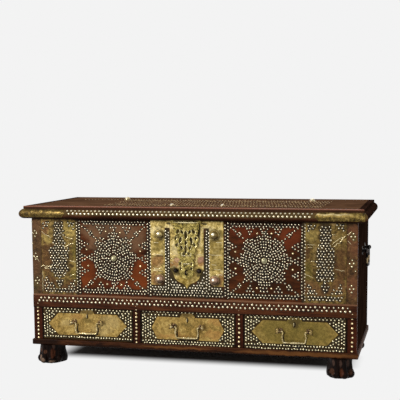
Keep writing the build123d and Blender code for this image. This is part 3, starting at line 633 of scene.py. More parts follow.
def doubleLine(start, end, pitch, apart):
    # two staggered lines; the second lies apart to the right of the way from start to end
    start, end = np.asarray(start, float), np.asarray(end, float)
    way = (end - start) / np.linalg.norm(end - start)
    off = np.array((way[1], -way[0])) * apart
    return np.concatenate((line(start, end, pitch), line(start + off, end + off, pitch, 0.5)))


def shortRow(count, pitch, up):
    # heads evenly either side of the middle, all at one height
    return np.stack(((np.arange(count) - (count - 1) / 2) * pitch, np.full(count, float(up))), 1)


def lattice(left, right, low, high, pitch, rise):
    # staggered rows filling a rectangle
    heights = np.arange(low, high + 0.01, rise)
    rows = [line((left, z), (right, z), pitch, 0.5 * (i % 2)) for i, z in enumerate(heights)]
    return np.concatenate(rows)


def thin(points, gap):
    # keeps a head only where no kept head is nearer than gap
    kept = []
    for point in np.asarray(points, float):
        if not kept or np.min(np.sum((np.array(kept) - point) ** 2, 1)) > gap * gap:
            kept.append(point)
    return np.array(kept)


sheetHead = 2.9 * mm                               # radius of the heads on the panel and the sheets

medallion = {
    "centres": {"left": (-281, 332.4), "right": (275, 336.4)},
    "rings": (18, 27.4, 36.8, 46.2, 55.6, 65, 74.4, 83.8, 93.2, 101),
    "spacing": 9.5,
    "stray": 0.9,
    # mean reach, swing of the eight points, height to width
    "star": {"left": (84, 10, 1.1), "right": (90, 8, 1.04)},
    "toothSpots": (-50, 0, 50),
    "toothReach": {"top": 113, "right": 120, "bottom": 109.5, "left": 122},
    "toothPitch": 11.5,
    "toothRise": 10.2,
    "arm": ((119, 115), (109, 108), (99.6, 101), (88, 97), (94, 91), (82, 91), (88, 85), (75, 78), (69, 69)),
    "axes": ((0, 88), (0, 97), (0, -90), (88, 0), (97, 0), (-88, 0), (-97, 0), (-106, 0)),
    "gap": 6.4,
    "singles": ((27, 97), (101, 29)),
    "singleSize": 3.9,
}


def medallionHeads(side, centre):
    # rings of heads kept inside a star: reach = mean + swing * cos(8 * angle); then teeth, arms and axes
    heads = []
    mean, swing, tall = medallion["star"][side]
    for radius in medallion["rings"]:
        count = round(tau * radius / medallion["spacing"])
        angle = (np.arange(count) + draw.uniform(0, 1)) / count * tau
        angle += draw.normal(0, medallion["stray"], count) / radius
        angle = angle[radius <= mean + swing * np.cos(8 * angle)]
        heads.append(np.stack((radius * np.cos(angle), tall * radius * np.sin(angle)), 1))
    quarters = {"right": 0, "top": 1, "left": 2, "bottom": 3}
    pitch, rise = medallion["toothPitch"], medallion["toothRise"]
    for edge, reach in medallion["toothReach"].items():
        teeth = [
            (shortRow(count, pitch, reach - depth * rise) + (spot, 0))[:, ::-1]
            for spot in medallion["toothSpots"] for depth, count in enumerate((3, 2, 1))
        ]
        angle = quarters[edge] * pi / 2
        turn = np.array([(cos(angle), sin(angle)), (-sin(angle), cos(angle))])
        heads.append(np.concatenate(teeth) @ turn)
    arm = np.array(medallion["arm"], float)
    heads += [arm * (sx, sz) for sx in (-1, 1) for sz in (-1, 1)]
    heads.append(medallion["axes"])
    return thin(np.concatenate(heads), medallion["gap"]) + centre


for side, centre in medallion["centres"].items():
    heads = onFront(medallionHeads(side, centre), panelFace, jitter=0.85)
    studs(f"studs_medallion_{side}", heads, outFront, sheetHead)
    singles = np.array([
        (sx * p, sz * q) for p, q in medallion["singles"] for sx in (-1, 1) for sz in (-1, 1)
    ])
    heads = onFront(singles + centre, panelFace, jitter=1.5)
    size = medallion["singleSize"] * mm
    studs(f"studs_single_{side}", heads, outFront, size, skirt=1.25, material="goldStud")

# double rows that frame the medallions, and one along the foot of the panel that runs on over the sheets
bands = {
    "columns": ((-423, -412.5), (-151, -141), (135.5, 146), (408.5, 419)),
    "low": 202, "high": 466, "pitch": 11.4,
    "tops": ((-412.5, -151), (146, 408.5)), "topPitch": 12, "topApart": 9,
    "foot": ((-551, 213.5), (547, 214.5)), "footPitch": 11.6, "footApart": 10,
    "gap": 7.5, "sheetsFrom": 425,
}
low, high = bands["low"], bands["high"]
bandHeads = [
    doubleLine((right, low), (right, high), bands["pitch"], left - right)
    for left, right in bands["columns"]
]
for left, right in bands["tops"]:
    bandHeads.append(doubleLine((left, high), (right, high), bands["topPitch"], bands["topApart"]))
bandHeads.append(doubleLine(*bands["foot"], bands["footPitch"], bands["footApart"]))
bandHeads = thin(np.concatenate(bandHeads), bands["gap"])
onSheets = np.abs(bandHeads[:, 0]) > bands["sheetsFrom"]
studs("studs_bands", onFront(bandHeads[~onSheets], panelFace), outFront, sheetHead)
studs("studs_bands_low_ends", onFront(bandHeads[onSheets], sheetFace), outFront, sheetHead)

# a baluster of heads, corner triangles and a pendant on each strip
strips = {
    "left": {
        "centre": -493,
        "outline": (
            (254, 8), (264, 22), (276, 35), (295, 37), (306, 34), (317, 31),
            (330, 37), (352, 42), (364, 38), (376, 27), (400, 20), (467, 17),
        ),
        "pendant": ((243, 3), (232, 2), (223.5, 1)),
        "triangles": (
            (-554, 459, 1, -1, 3), (-435, 459, -1, -1, 3), (-551, 225, 1, 1, 4), (-434, 224, -1, 1, 3),
        ),
    },
    "right": {
        "centre": 490,
        "outline": (
            (273, 24), (285, 33), (300, 32), (315, 29), (335, 33), (375, 33), (388, 24), (395, 17), (467, 17),
        ),
        "pendant": ((263, 1), (252, 3), (242, 2), (231, 1)),
        "triangles": ((551, 466, -1, -1, 3), (430, 464, 1, -1, 3), (428, 226, 1, 1, 4), (547, 228, -1, 1, 4)),
    },
}
stripHeads = {
    "half": 45, "pitch": 10.6, "rise": 9.3, "gap": 7.2,
    "pendantPitch": 11, "trianglePitch": 10.5, "triangleRise": 10,
}


def triangleHeads(x, z, goX, goZ, size):
    # rows that grow shorter by one head, away from the corner
    pitch, rise = stripHeads["trianglePitch"], stripHeads["triangleRise"]
    rows = []
    for k in range(size):
        across = x + goX * (np.arange(size - k) + 0.5 * (k % 2)) * pitch
        rows.append(np.stack((across, np.full(size - k, z + goZ * k * rise)), 1))
    return np.concatenate(rows)


for side, strip in strips.items():
    heights, halves = np.array(strip["outline"], float).T
    half = stripHeads["half"]
    fill = lattice(-half, half, heights[0], heights[-1], stripHeads["pitch"], stripHeads["rise"])
    inside = np.abs(fill[:, 0]) <= np.interp(fill[:, 1], heights, halves)
    pendant = [shortRow(count, stripHeads["pendantPitch"], z) for z, count in strip["pendant"]]
    heads = np.concatenate([fill[inside], *pendant]) + (strip["centre"], 0)
    corners = [triangleHeads(*corner) for corner in strip["triangles"]]
    heads = thin(np.concatenate([heads, *corners]), stripHeads["gap"])
    studs(f"studs_strip_{side}", onFront(heads, sheetFace, jitter=0.8), outFront, sheetHead)

# diamonds of four nails, and a few loose ones, on the corner straps
cornerNails = {
    "places": ((-588, 418.6), (-586.5, 332.5), (-582, 242), (584.5, 427.6), (580.5, 335), (580.6, 246)),
    "diamond": ((0, 11), (0, -11), (-6.2, 0), (6.2, 0)),
    "loose": ((-598, 461), (-598, 382), (593, 308)),
    "size": 3.3,
    "looseSize": 2.4,
}
diamonds = np.concatenate([np.array(cornerNails["diamond"]) + place for place in cornerNails["places"]])
cornerPlaces = np.concatenate((diamonds, cornerNails["loose"]))
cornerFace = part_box("corner_straps")[0].y
inDiamond = np.arange(len(cornerPlaces)) < len(diamonds)
cornerSizes = np.where(inDiamond, cornerNails["size"], cornerNails["looseSize"]) * mm
heads = onFront(cornerPlaces, cornerFace)
studs("nails_corner_straps", heads, outFront, cornerSizes, skirt=1.3, material="drawerStud")

# round the lock: a double column on either side, rows under the shield and under the side sheets
lockField = {
    "columns": ((-79, -78), (72, 73)), "low": 202, "high": 436, "pitch": 10.6, "apart": 10,
    "shield": ((0, 10, 22, 36, 50, 58, 62), (226, 239, 248, 252, 264, 282, 298)), "clear": 6,
    "below": (-68, 68, 203, 290), "belowRise": 9.6,
    "underSheets": (-133, 128, 223, 232), "underRise": 9, "sheetsFrom": 86,
    "gap": 7.4, "lowest": 218, "size": 3.2,
}
low, high, pitch = lockField["low"], lockField["high"], lockField["pitch"]
lockHeads = [
    doubleLine((centreX + foot, low), (centreX + head, high), pitch, lockField["apart"])
    for foot, head in lockField["columns"]
]
left, right, low, high = lockField["below"]
below = lattice(centreX + left, centreX + right, low, high, pitch, lockField["belowRise"])
shieldEdge = np.interp(np.abs(below[:, 0] - centreX), *lockField["shield"])
lockHeads.append(below[below[:, 1] < shieldEdge - lockField["clear"]])
left, right, low, high = lockField["underSheets"]
under = lattice(centreX + left, centreX + right, low, high, pitch, lockField["underRise"])
lockHeads.append(under[np.abs(under[:, 0] - centreX) > lockField["sheetsFrom"]])
lockHeads = thin(np.concatenate(lockHeads), lockField["gap"])
lockHeads = lockHeads[lockHeads[:, 1] > lockField["lowest"]]
studs("studs_lock", onFront(lockHeads, panelFace), outFront, lockField["size"] * mm, material="lockStud")

# two staggered rows on the rail, every other head of the upper one small
railRow = {"low": 167, "high": 178.5, "half": 576, "pitch": 16, "lowSize": 4.1, "highSizes": (4.4, 2.9)}
half = railRow["half"]
lowRow = line((-half, railRow["low"]), (half, railRow["low"]), railRow["pitch"])
highRow = line((-half, railRow["high"]), (half, railRow["high"]), railRow["pitch"], 0.5)
lowSizes, highSizes = np.full(len(lowRow), railRow["lowSize"]), np.resize(railRow["highSizes"], len(highRow))
heads = onFront(np.concatenate((lowRow, highRow)), railFace)
studs("studs_rail", heads, outFront, np.concatenate((lowSizes, highSizes)) * mm, skirt=1.6)

# nails up the stiles and muntins: foot, head and pitch of each line
uprights = {
    "lines": (
        ((-583, 25), (-583, 155), 14.6), ((-198, 24), (-198, 158), 13.2),
        ((185, 28), (185, 157), 15.6), ((584, 27), (584, 158), 15.6),
    ),
    "size": 4.3,
}
heads = onFront(np.concatenate([line(*upright) for upright in uprights["lines"]]), panelFace)
studs("nails_uprights", heads, outFront, uprights["size"] * mm, skirt=1.3, material="goldStud")


def insidePolygon(points, corners):
    # crossing rule, for all the points at once
    corners = np.asarray(corners, float)
    inside = np.zeros(len(points), bool)
    for (x1, z1), (x2, z2) in zip(corners, np.roll(corners, -1, 0)):
        spans = (z1 > points[:, 1]) != (z2 > points[:, 1])
        crossing = x1 + (points[:, 1] - z1) / (z2 - z1 if z2 != z1 else 1) * (x2 - x1)
        inside ^= spans & (points[:, 0] < crossing)
    return inside


# rows along a drawer's top and bottom edges and columns at its ends, left off round the plate
drawerHeads = {
    "rows": {
        "left": {"top": (137.5, 127.5), "bottom": (33,)},
        "centre": {"top": (140.6, 130), "bottom": (33.6, 24.7)},
        "right": {"top": (142, 134), "bottom": (37, 25)},
    },
    "pitch": {"top": 13.6, "bottom": 10.7},
    "columns": 9, "columnPitch": 9.6, "rise": 10.6,
    "inset": {"side": 6, "bottom": 5, "top": 4.5},
    "plateHeight": 82, "plateFlat": 114, "keep": 4.2,    # height, half its flat top, the gap kept round it
    "tabHalf": 31, "tabKeep": 9,                         # the escutcheon's tab: half its width, its bare part
    "gap": 7.6, "size": 3.2, "tabSize": 2.9,
}
for bay in bays:
    low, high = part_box(f"drawer_{bay}_front")
    plateLow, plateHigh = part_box(f"drawer_{bay}_plate")
    inset, keep, middle = drawerHeads["inset"], drawerHeads["keep"], bayMiddles[bay]
    left, right = low.x / mm + inset["side"], high.x / mm - inset["side"]
    bottom, top = heightOf(low.z) + inset["bottom"], heightOf(high.z) - inset["top"]
    plateBottom = heightOf(plateLow.z)
    plateTop = plateBottom + drawerHeads["plateHeight"]
    waist = (plateBottom + plateTop) / 2
    tip = (plateHigh.x - plateLow.x) / 2 / mm + keep
    shoulder = drawerHeads["plateFlat"] + keep / 2
    plate = (
        (middle - tip, waist),
        (middle - shoulder, plateTop + keep), (middle + shoulder, plateTop + keep),
        (middle + tip, waist),
        (middle + shoulder, plateBottom - keep), (middle - shoulder, plateBottom - keep),
    )
    rows = [
        line((left, z), (right, z), drawerHeads["pitch"][edge], 0.5 * (i % 2))
        for edge, heights in drawerHeads["rows"][bay].items() for i, z in enumerate(heights)
    ]
    for start, inward in ((left, 1), (right, -1)):
        for k in range(drawerHeads["columns"]):
            x = start + inward * drawerHeads["columnPitch"] * k
            rows.append(line((x, bottom), (x, top), drawerHeads["rise"], 0.5 * (k % 2)))
    heads = thin(np.concatenate(rows), drawerHeads["gap"])
    heads = heads[~insidePolygon(heads, plate)]
    overTab = (np.abs(heads[:, 0] - middle) < drawerHeads["tabHalf"]) & (heads[:, 1] > waist)
    drawer = {"body": f"drawer_{bay}", "material": "drawerStud"}
    onTab = overTab & (heads[:, 1] > plateTop + drawerHeads["tabKeep"])
    tabHeads = onFront(heads[onTab], plateLow.y, jitter=0.5)
    studs(f"studs_tab_{bay}", tabHeads, outFront, drawerHeads["tabSize"] * mm, skirt=1.5, flat=0.8, **drawer)
    fieldHeads = onFront(heads[~overTab], low.y, jitter=0.7)
    studs(f"studs_drawer_{bay}", fieldHeads, outFront, drawerHeads["size"] * mm, **drawer)

# two rows on the round of the lid's moulding, whose arc has this rise and this sag; heights above the floor
lidFront = {
    "rows": ((574.5, 0.0), (564.0, 0.5)), "half": 446, "pitch": 15.4, "size": 4.0, "rise": 17.25, "sag": 13.5,
}
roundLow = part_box("lid_moulding_front")[0]
roundRise, roundSag = lidFront["rise"] * mm, lidFront["sag"] * mm
roundRadius = (roundRise**2 + roundSag**2) / (2 * roundSag)
roundY, roundZ = roundLow.y + roundRadius, roundLow.z + roundRise
spots, ways = [], []
for height, shift in lidFront["rows"]:
    across = line((-lidFront["half"], 0), (lidFront["half"], 0), lidFront["pitch"], shift)[:, 0]
    tilt = np.arcsin((height * mm - roundZ) / roundRadius)
    depth, up = roundY - roundRadius * cos(tilt), roundZ + roundRadius * sin(tilt)
    spots.append(np.stack((across * mm, np.full(len(across), depth), np.full(len(across), up)), 1))
    ways.append(np.tile((0, -cos(tilt), sin(tilt)), (len(across), 1)))
spots, ways = np.concatenate(spots), np.concatenate(ways)
studs("studs_lid_front", spots, ways, lidFront["size"] * mm, "lid", skirt=1.3, flat=0.35, lean=0.02)

# rows and zigzags of duller heads on the lid's top, in mm across and forward from its back edge
lidField = {
    "left": -330, "right": 470, "pitch": 11.5, "rows": (165, 230, 290, 350, 410, 470),
    "zigzags": ((180, 218), (425, 460)), "zigzagPitch": 34, "zigzagSpacing": 13,
    "endRow": ((-520, 165), (-340, 165), 14), "gap": 8, "size": 3.3,
}


def onLid(points):
    # across and forward from the back edge, in mm, to places on the lid's top, each a little off its mark
    points = np.asarray(points, float) + draw.normal(0, 0.8, (len(points), 2))
    return np.stack((points[:, 0] * mm, lidBack - points[:, 1] * mm, np.full(len(points), lidTop)), 1)


def zigzag(left, right, near, far, pitch, spacing):
    # heads along a line that swings between near and far
    turns = int((right - left) / pitch)
    across = np.linspace(left, right, turns + 1)
    corners = np.stack((across, np.where(np.arange(turns + 1) % 2, near, far)), 1)
    return np.concatenate([line(a, b, spacing)[:-1] for a, b in zip(corners[:-1], corners[1:])])


left, right = lidField["left"], lidField["right"]
swing = (lidField["zigzagPitch"], lidField["zigzagSpacing"])
lidLines = [line((left, back), (right, back), lidField["pitch"]) for back in lidField["rows"]]
lidLines += [zigzag(left, right, near, far, *swing) for near, far in lidField["zigzags"]]
lidLines.append(line(*lidField["endRow"]))
heads = onLid(thin(np.concatenate(lidLines), lidField["gap"]))
studs("studs_lid_top", heads, (0, 0, 1), lidField["size"] * mm, "lid", skirt=1.3, material="lidStud")
print("studs placed")

knob = {
    "offsets": {"left": -41, "right": 45}, "up": 294,
    "foot": 8.6, "footHeight": 1.2, "base": 1.8, "radius": 7.4, "rise": 6, "sides": 28,
}


def ironKnob(name, centre):
    # a low button turned round an axis that points out of the front: across = radius * cos(turn),
    # up = radius * sin(turn), out = height, with a quarter of an ellipse for its crown
    base, radius, rise, sides = (knob[key] for key in ("base", "radius", "rise", "sides"))
    bend = np.linspace(0.15, 1.4, 7)
    radii = np.concatenate(((knob["foot"], knob["foot"], radius), radius * np.cos(bend)))
    heights = np.concatenate(((0, knob["footHeight"], base), base + rise * np.sin(bend)))
    turns = np.arange(sides) / sides * tau
    depths = np.repeat(-heights[:, None], sides, 1)
    rings = np.stack((np.outer(radii, np.cos(turns)), depths, np.outer(radii, np.sin(turns))), 2)
    points = np.concatenate((rings.reshape(-1, 3), [(0, -base - rise, 0)])) * mm + centre
    pieceFrom(name, points, domeFaces(len(radii), sides), "iron", "chest")


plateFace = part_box("lock_plate")[0].y
for side, x in knob["offsets"].items():
    ironKnob(f"iron_knob_{side}", ((centreX + x) * mm, plateFace, baseZ + knob["up"] * mm))


def along(path, spacing):
    # the path's points again, evenly spaced by its length
    path = np.asarray(path, float)
    lengths = np.concatenate(((0,), np.cumsum(np.linalg.norm(np.diff(path, axis=0), axis=1))))
    steps = max(3, round(lengths[-1] / spacing))
    ends = np.linspace(0, lengths[-1], steps + 1)
    return np.stack([np.interp(ends, lengths, path[:, i]) for i in range(2)], 1)


def ribs(
    name, paths, face, body, material, slot, halfWidth, height, wobble=0.0, spacing=4.0, lit=False, sides=6
):
    # a low rounded rib on each path: across = halfWidth * taper * cos(turn), out = height * taper * sin(turn)
    # with taper = 2.5 * sin(pi * share of the length), kept between 0.08 and 1; pale along its crest (wear
    # and a painted highlight) or, when lit, painted highlight on the right side of a loop and painted shade
    # on its left
    turns = np.arange(sides) / sides * tau
    allPoints, allFaces, levels, start = [], [], [], 0
    for path in paths:
        spine = along(path, spacing)
        count = len(spine)
        spine[1:-1] += draw.normal(0, wobble, (count - 2, 2))
        way = np.gradient(spine, axis=0)
        way /= np.linalg.norm(way, axis=1)[:, None]
        off = np.stack((-way[:, 1], way[:, 0]), 1)
        taper = np.clip(np.sin(np.linspace(0, pi, count)) * 2.5, 0.08, 1)
        flat = spine[:, None] + off[:, None] * (halfWidth * taper[:, None] * np.cos(turns))[..., None]
        out = height * taper[:, None] * np.sin(turns)
        rings = np.stack((flat[..., 0] * mm, face - out * mm, baseZ + flat[..., 1] * mm), 2)
        allPoints.append(rings.reshape(-1, 3))
        allFaces += tubeFaces(count, sides, start, turnedOver=True)
        crest = np.tile(0.5 + 0.4 * np.sin(turns), count)
        levels.append(np.repeat(0.5 - 0.5 * off[:, 0], sides) if lit else crest)
        start += count * sides
    values = {"level": np.concatenate(levels), "tint": np.ones(start)}
    pieceFrom(name, np.concatenate(allPoints), allFaces, material, body, values)


# ridges where the beaten sheets buckled, and scratches
creases = {
    "strips": (
        ((-563, 426), (-545, 414), (-521, 404)), ((-569, 292), (-557, 301), (-545, 293)),
        ((-477, 368), (-452, 380), (-431, 386)), ((-455, 320), (-440, 317), (-425, 314)),
        ((-455, 260), (-440, 268), (-429, 270)), ((-561, 200), (-561, 240), (-560, 282)),
        ((-556, 288), (-545, 290), (-532, 286)), ((-520, 300), (-535, 296), (-548, 298)),
        ((512, 399), (530, 414), (548, 427)), ((516, 388), (530, 402), (538, 406), (560, 433)),
        ((426, 396), (440, 397), (453, 396)), ((427, 388), (445, 388)), ((438, 337), (446, 340), (453, 337)),
        ((510, 434), (525, 434)), ((418, 293), (434, 288), (450, 280)), ((522, 314), (540, 310), (558, 308)),
        ((-470, 410), (-450, 402), (-436, 400)), ((470, 400), (462, 392)),
    ),
    "corners": (
        ((-595, 330), (-580, 322), (-572, 312)), ((565, 430), (574, 440), (580, 446)),
        ((566, 415), (578, 400)),
    ),
    "lock": (
        ((-134, 350), (-112, 351), (-91, 349)), ((-130, 393), (-118, 394), (-108, 392)),
        ((80, 353), (104, 353), (127, 352)), ((84, 320), (96, 317), (106, 318)),
        ((102, 281), (114, 283), (127, 281)), ((102, 398), (114, 399), (127, 397)),
        ((94, 303), (104, 300), (120, 302)), ((-66, 353), (-52, 354), (-38, 353)),
        ((30, 353), (44, 354), (56, 352)), ((-130, 301), (-112, 298), (-96, 301)), ((-64, 338), (-54, 334)),
        ((-66, 322), (-54, 319)), ((-132, 291), (-114, 294), (-94, 290)),
    ),
}
ridges = {                                         # face and slot; half width, height and wobble of a ridge
    "strips": (sheetFace, "sheet_brass", 1.0, 0.6, 0.8),
    "corners": (cornerFace, "copper_patina", 0.9, 0.5, 0.8),
    "lock": (plateFace, "sheet_brass", 1.3, 0.8, 0.5),
}
for sheet, (face, slot, *size) in ridges.items():
    # pale crests: wear and a painted highlight
    ribs(f"creases_{sheet}", creases[sheet], face, "chest", "ridge", slot, *size)

# cast relief on the hasp: a raised rim round every piercing, scrolls at the neck and beads down the tail;
# piercings and scrolls are given above the floor, beads above the underside of the plinth
haspRelief = {
    "leaves": (                                    # across, up, height, width and tilt of a piercing
        (29, 504, 15, 9, 30), (14, 502, 14, 6, -28), (37, 480, 11, 6.5, -8), (20, 473, 22, 8, 14),
        (32, 456, 12, 6.5, 18), (16, 447, 14, 6, -26), (20, 388, 10, 5, 8), (20, 371, 10, 5, -8),
    ),
    "middle": ((0, 492, 28, 9), (0, 463, 14, 7), (0, 440, 26, 8)),
    "scroll": {"place": (13, 424), "start": 7.5, "turns": 1.6},
    "rim": 1.2,                                    # from a piercing's edge to the middle of its raised rim
    "rimSize": (1.4, 1.2),                         # its half width and height
    "beads": ((349, 7), (320, 5)),                 # height of a row and how many it has
    "beadPitch": 5.2,
    "beadSize": 1.9,
    "thickness": 4,
}
haspLow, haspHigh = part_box("hasp")
haspFlat = (haspLow.y + haspHigh.y) / 2 - haspRelief["thickness"] / 2 * mm  # the flat lies behind the knuckle
floorUp = baseZ / mm


def leafLoop(x, z, height, width, tilt):
    # an oval round a piercing: across = (width / 2 + rim) * cos(t), up = (height / 2 + rim) * sin(t),
    # then turned by tilt
    t = np.linspace(0, tau, 21)
    angle = tilt * pi / 180
    flatX = (width / 2 + haspRelief["rim"]) * np.cos(t)
    flatZ = (height / 2 + haspRelief["rim"]) * np.sin(t)
    turnedX = flatX * cos(angle) - flatZ * sin(angle)
    turnedZ = flatX * sin(angle) + flatZ * cos(angle)
    return np.stack((centreX + x + turnedX, z + turnedZ - floorUp), 1)


def scrollPath(side):
    # a spiral: radius = start * (1 - 0.75 * share), turning with share from 0 to 1
    share = np.linspace(0, 1, 40)
    scroll = haspRelief["scroll"]
    radius = scroll["start"] * (1 - 0.75 * share)
    angle = share * scroll["turns"] * tau + pi / 2
    x, z = scroll["place"]
    return np.stack((centreX + side * (x + radius * np.cos(angle)), z - floorUp + radius * np.sin(angle)), 1)


rims = [leafLoop(x, z, high, wide, 0) for x, z, high, wide in haspRelief["middle"]]
rims += [
    leafLoop(s * x, z, high, wide, s * tilt)
    for x, z, high, wide, tilt in haspRelief["leaves"] for s in (-1, 1)
]
rims += [scrollPath(-1), scrollPath(1)]
rimSize = haspRelief["rimSize"]
# the rims and scrolls carry painted light: pale on the right of each loop, painted shade on its left
ribs("hasp_relief", rims, haspFlat, "hasp", "relief", "hasp_brass", *rimSize, spacing=2.2, lit=True)
beadRows = [shortRow(count, haspRelief["beadPitch"], z) + (centreX, 0) for z, count in haspRelief["beads"]]
beads = onFront(np.concatenate(beadRows), haspFlat, jitter=0)
studs("hasp_beads", beads, outFront, haspRelief["beadSize"] * mm, "hasp", skirt=1.05, slot="hasp_brass")

# leafy finials on the ends of the drawer bails, each a pair of lobes
finial = {
    "root": 53, "length": 16, "width": 12, "thick": 2.0, "cup": 1.6, "spread": 36, "rows": 9, "columns": 8,
}
# a dark line behind each hanging bail: tarnishing and the bail's painted shadow on the plate
tarnishShadowLine = {
    "path": ((-36, 2), (-41, -20), (-38, -41), (0, -45), (38, -41), (41, -20), (36, 2)),
    "right": 1, "down": 5,
    "size": (2.6, 0.15, 0.5),                      # half width, height, wobble
}
keyholeRim = {"path": ((-2.5, 106), (-2.5, 120)), "size": (1.2, 0.8)}


def leafBlade(root, way):
    # a closed blade: half width = width / 2 * sin(pi * share ^ 0.8) * cos(turn), half thickness =
    # thick * sin(pi * share ^ 0.6) * sin(turn), bowed forward by cup * sin(pi * share)
    rows, columns = finial["rows"], finial["columns"]
    across = np.cross(outFront, way)
    share = np.linspace(0.02, 0.99, rows)
    turns = np.arange(columns) / columns * tau
    half = finial["width"] / 2 * np.sin(pi * share**0.8)[:, None] * np.cos(turns)
    lift = finial["thick"] * np.sin(pi * share**0.6)[:, None] * np.sin(turns)
    lift = lift + finial["cup"] * np.sin(pi * share)[:, None]
    points = root + (share * finial["length"])[:, None, None] * np.array(way) + half[..., None] * across
    return (points + lift[..., None] * np.array(outFront)).reshape(-1, 3)


for bay in bays:
    bailLow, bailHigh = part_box(f"pull_{bay}_bail")
    postLow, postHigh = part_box(f"pull_{bay}_posts")
    axisY = (bailLow.y + bailHigh.y) / 2 / mm
    axisZ = (postLow.z + postHigh.z) / 2 / mm
    rows, columns = finial["rows"], finial["columns"]
    blades, faces = [], []
    for side in (-1, 1):
        for tilt in (-finial["spread"], finial["spread"]):
            angle = tilt * pi / 180
            root = np.array((bayMiddles[bay] + side * finial["root"], axisY, axisZ))
            faces += tubeFaces(rows, columns, len(blades) * rows * columns)
            blades.append(leafBlade(root, (side * cos(angle), 0, sin(angle))))
    bulge = np.tile(np.repeat(np.sin(pi * np.linspace(0, 1, rows)), columns), len(blades)) * 0.7
    values = {"level": bulge, "tint": np.ones(len(bulge))}
    points = np.concatenate(blades) * mm
    pieceFrom(f"pull_{bay}_leaves", points, faces, "leaf", f"bail_{bay}", values)
    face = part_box(f"drawer_{bay}_plate")[0].y
    # a painted highlight on the keyhole's edge, and a dark line of tarnishing and painted shadow on the plate
    # behind the hanging bail
    body = f"drawer_{bay}"
    rim = np.array(keyholeRim["path"]) + (bayMiddles[bay], 0)
    ribs(f"keyhole_rim_{bay}", [rim], face, body, "ridge", "drawer_brass", *keyholeRim["size"])
    place = (bayMiddles[bay] + tarnishShadowLine["right"], axisZ - floorUp - tarnishShadowLine["down"])
    resting = np.array(tarnishShadowLine["path"]) + place
    ribs(f"tarnish_and_shadow_line_{bay}", [resting], face, body, "tarnishShadow", "drawer_brass", *tarnishShadowLine["size"])
print("knobs, creases, relief and finials made")


stageSet = {
    "background": "#f3f3f3",
    "skyLevel": 0.5,
    "floorHalf": 6.0,
    "floorTone": "#858381",
    "shadowBox": (0.5, 0.07, 0.0),            # half size of the floor patch that shows the shadow in full
    "shadowFade": 0.11,
    "lamps": (
        ("key", (-2.3, -2.9, 1.9), 1.1, 105),
        ("fill", (2.4, -3.0, 1.2), 2.0, 12),
        ("back", (0.4, 2.2, 2.6), 1.8, 25),
    ),
    "aim": (0, 0, 0.3),
}


def backdropRays(add):
    # camera, glossy and transmission rays meet the plain background
    direct = add("ShaderNodeLightPath", output="Is Camera Ray")
    for kind in ("Is Glossy Ray", "Is Transmission Ray"):
        other = add("ShaderNodeLightPath", output=kind)
        direct = add("ShaderNodeMath", {"operation": "MAXIMUM"}, {0: direct, 1: other})
    return direct


world = bpy.data.worlds.new("studio")
bpy.context.scene.world = world
world.use_nodes = True
world.node_tree.nodes.clear()
add = partial(addNode, world.node_tree)
shown = add("ShaderNodeBackground", None, {"Color": stageSet["background"], "Strength": 1.0})
lighting = add("ShaderNodeBackground", None, {"Color": "#ffffff", "Strength": stageSet["skyLevel"]})
either = add("ShaderNodeMixShader", None, {0: backdropRays(add), 1: lighting, 2: shown})
world.node_tree.links.new(either, world.node_tree.nodes.new("ShaderNodeOutputWorld").inputs["Surface"])

# Matt paper: it keeps the shadow near the feet and fades into the plain background further out.
floorMaterial, shader, add = newMaterial(
    "paper_sweep", {"Base Color": stageSet["floorTone"], "Roughness": 0.9, "Specular IOR Level": 0.0}
)
place = add("ShaderNodeTexCoord", output="Object")
folded = add("ShaderNodeVectorMath", {"operation": "ABSOLUTE"}, {0: place})
beyond = add("ShaderNodeVectorMath", {"operation": "SUBTRACT"}, {0: folded, 1: stageSet["shadowBox"]})
beyond = add("ShaderNodeVectorMath", {"operation": "MAXIMUM"}, {0: beyond, 1: (0, 0, 0)})
away = add("ShaderNodeVectorMath", {"operation": "LENGTH"}, {0: beyond}, "Value")
fadeLimits = {"Value": away, "From Min": 0.0, "From Max": stageSet["shadowFade"]}
fade = add("ShaderNodeMapRange", {"interpolation_type": "SMOOTHSTEP"}, fadeLimits)
glow = add("ShaderNodeEmission", None, {"Color": stageSet["background"], "Strength": 1.0})
share = add("ShaderNodeMath", {"operation": "MULTIPLY"}, {0: fade, 1: backdropRays(add)})
either = add("ShaderNodeMixShader", None, {0: share, 1: shader.outputs[0], 2: glow})
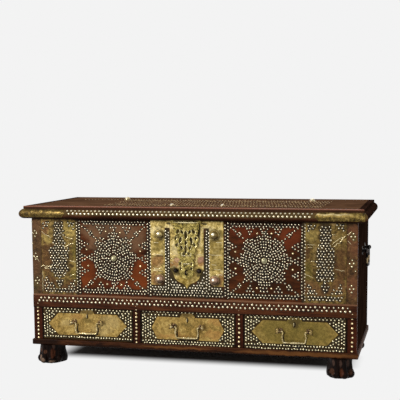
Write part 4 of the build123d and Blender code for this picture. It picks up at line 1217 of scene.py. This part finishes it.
floorMaterial.node_tree.links.new(either, floorMaterial.node_tree.nodes["Material Output"].inputs["Surface"])
half = stageSet["floorHalf"]
floorMesh = bpy.data.meshes.new("floor")
floorCorners = [(-half, -half, 0), (half, -half, 0), (half, half, 0), (-half, half, 0)]
floorMesh.from_pydata(floorCorners, [], [(0, 1, 2, 3)])
floorMesh.materials.append(floorMaterial)
floor = bpy.data.objects.new("floor", floorMesh)
bpy.context.scene.collection.objects.link(floor)

for name, place, size, power in stageSet["lamps"]:
    lamp = bpy.data.lights.new(name, "AREA")
    lamp.shape = "DISK"
    lamp.size = size
    lamp.energy = power
    holder = bpy.data.objects.new(name, lamp)
    bpy.context.scene.collection.objects.link(holder)
    holder.location = place
    holder.rotation_mode = "QUATERNION"
    holder.rotation_quaternion = (Vector(place) - Vector(stageSet["aim"])).to_track_quat("Z", "Y")

cameraSet = {
    "place": (0.8491, -3.4954, 0.8297),
    "yaw": 0.24313, "pitch": 0.11024, "roll": -0.00656,      # in radians
    "lens": 85.05, "sensor": 36, "rise": 0.11,
}
cameraData = bpy.data.cameras.new("camera")
cameraData.sensor_fit = "HORIZONTAL"
cameraData.sensor_width = cameraSet["sensor"]
cameraData.lens = cameraSet["lens"]
cameraData.shift_y = cameraSet["rise"]
camera = bpy.data.objects.new("camera", cameraData)
bpy.context.scene.collection.objects.link(camera)
yaw, pitch, roll = cameraSet["yaw"], cameraSet["pitch"], cameraSet["roll"]
backWay = Vector((sin(yaw) * cos(pitch), -cos(yaw) * cos(pitch), sin(pitch)))
rightWay = Vector((0, 0, 1)).cross(backWay).normalized()
upWay = backWay.cross(rightWay)
rightRolled = cos(roll) * rightWay + sin(roll) * upWay
upRolled = cos(roll) * upWay - sin(roll) * rightWay
turn = Matrix((rightRolled, upRolled, backWay)).transposed()
camera.matrix_world = Matrix.Translation(cameraSet["place"]) @ turn.to_4x4()
bpy.context.scene.camera = camera
bpy.context.scene.view_settings.view_transform = "Standard"
print("stage, lamps and camera set")
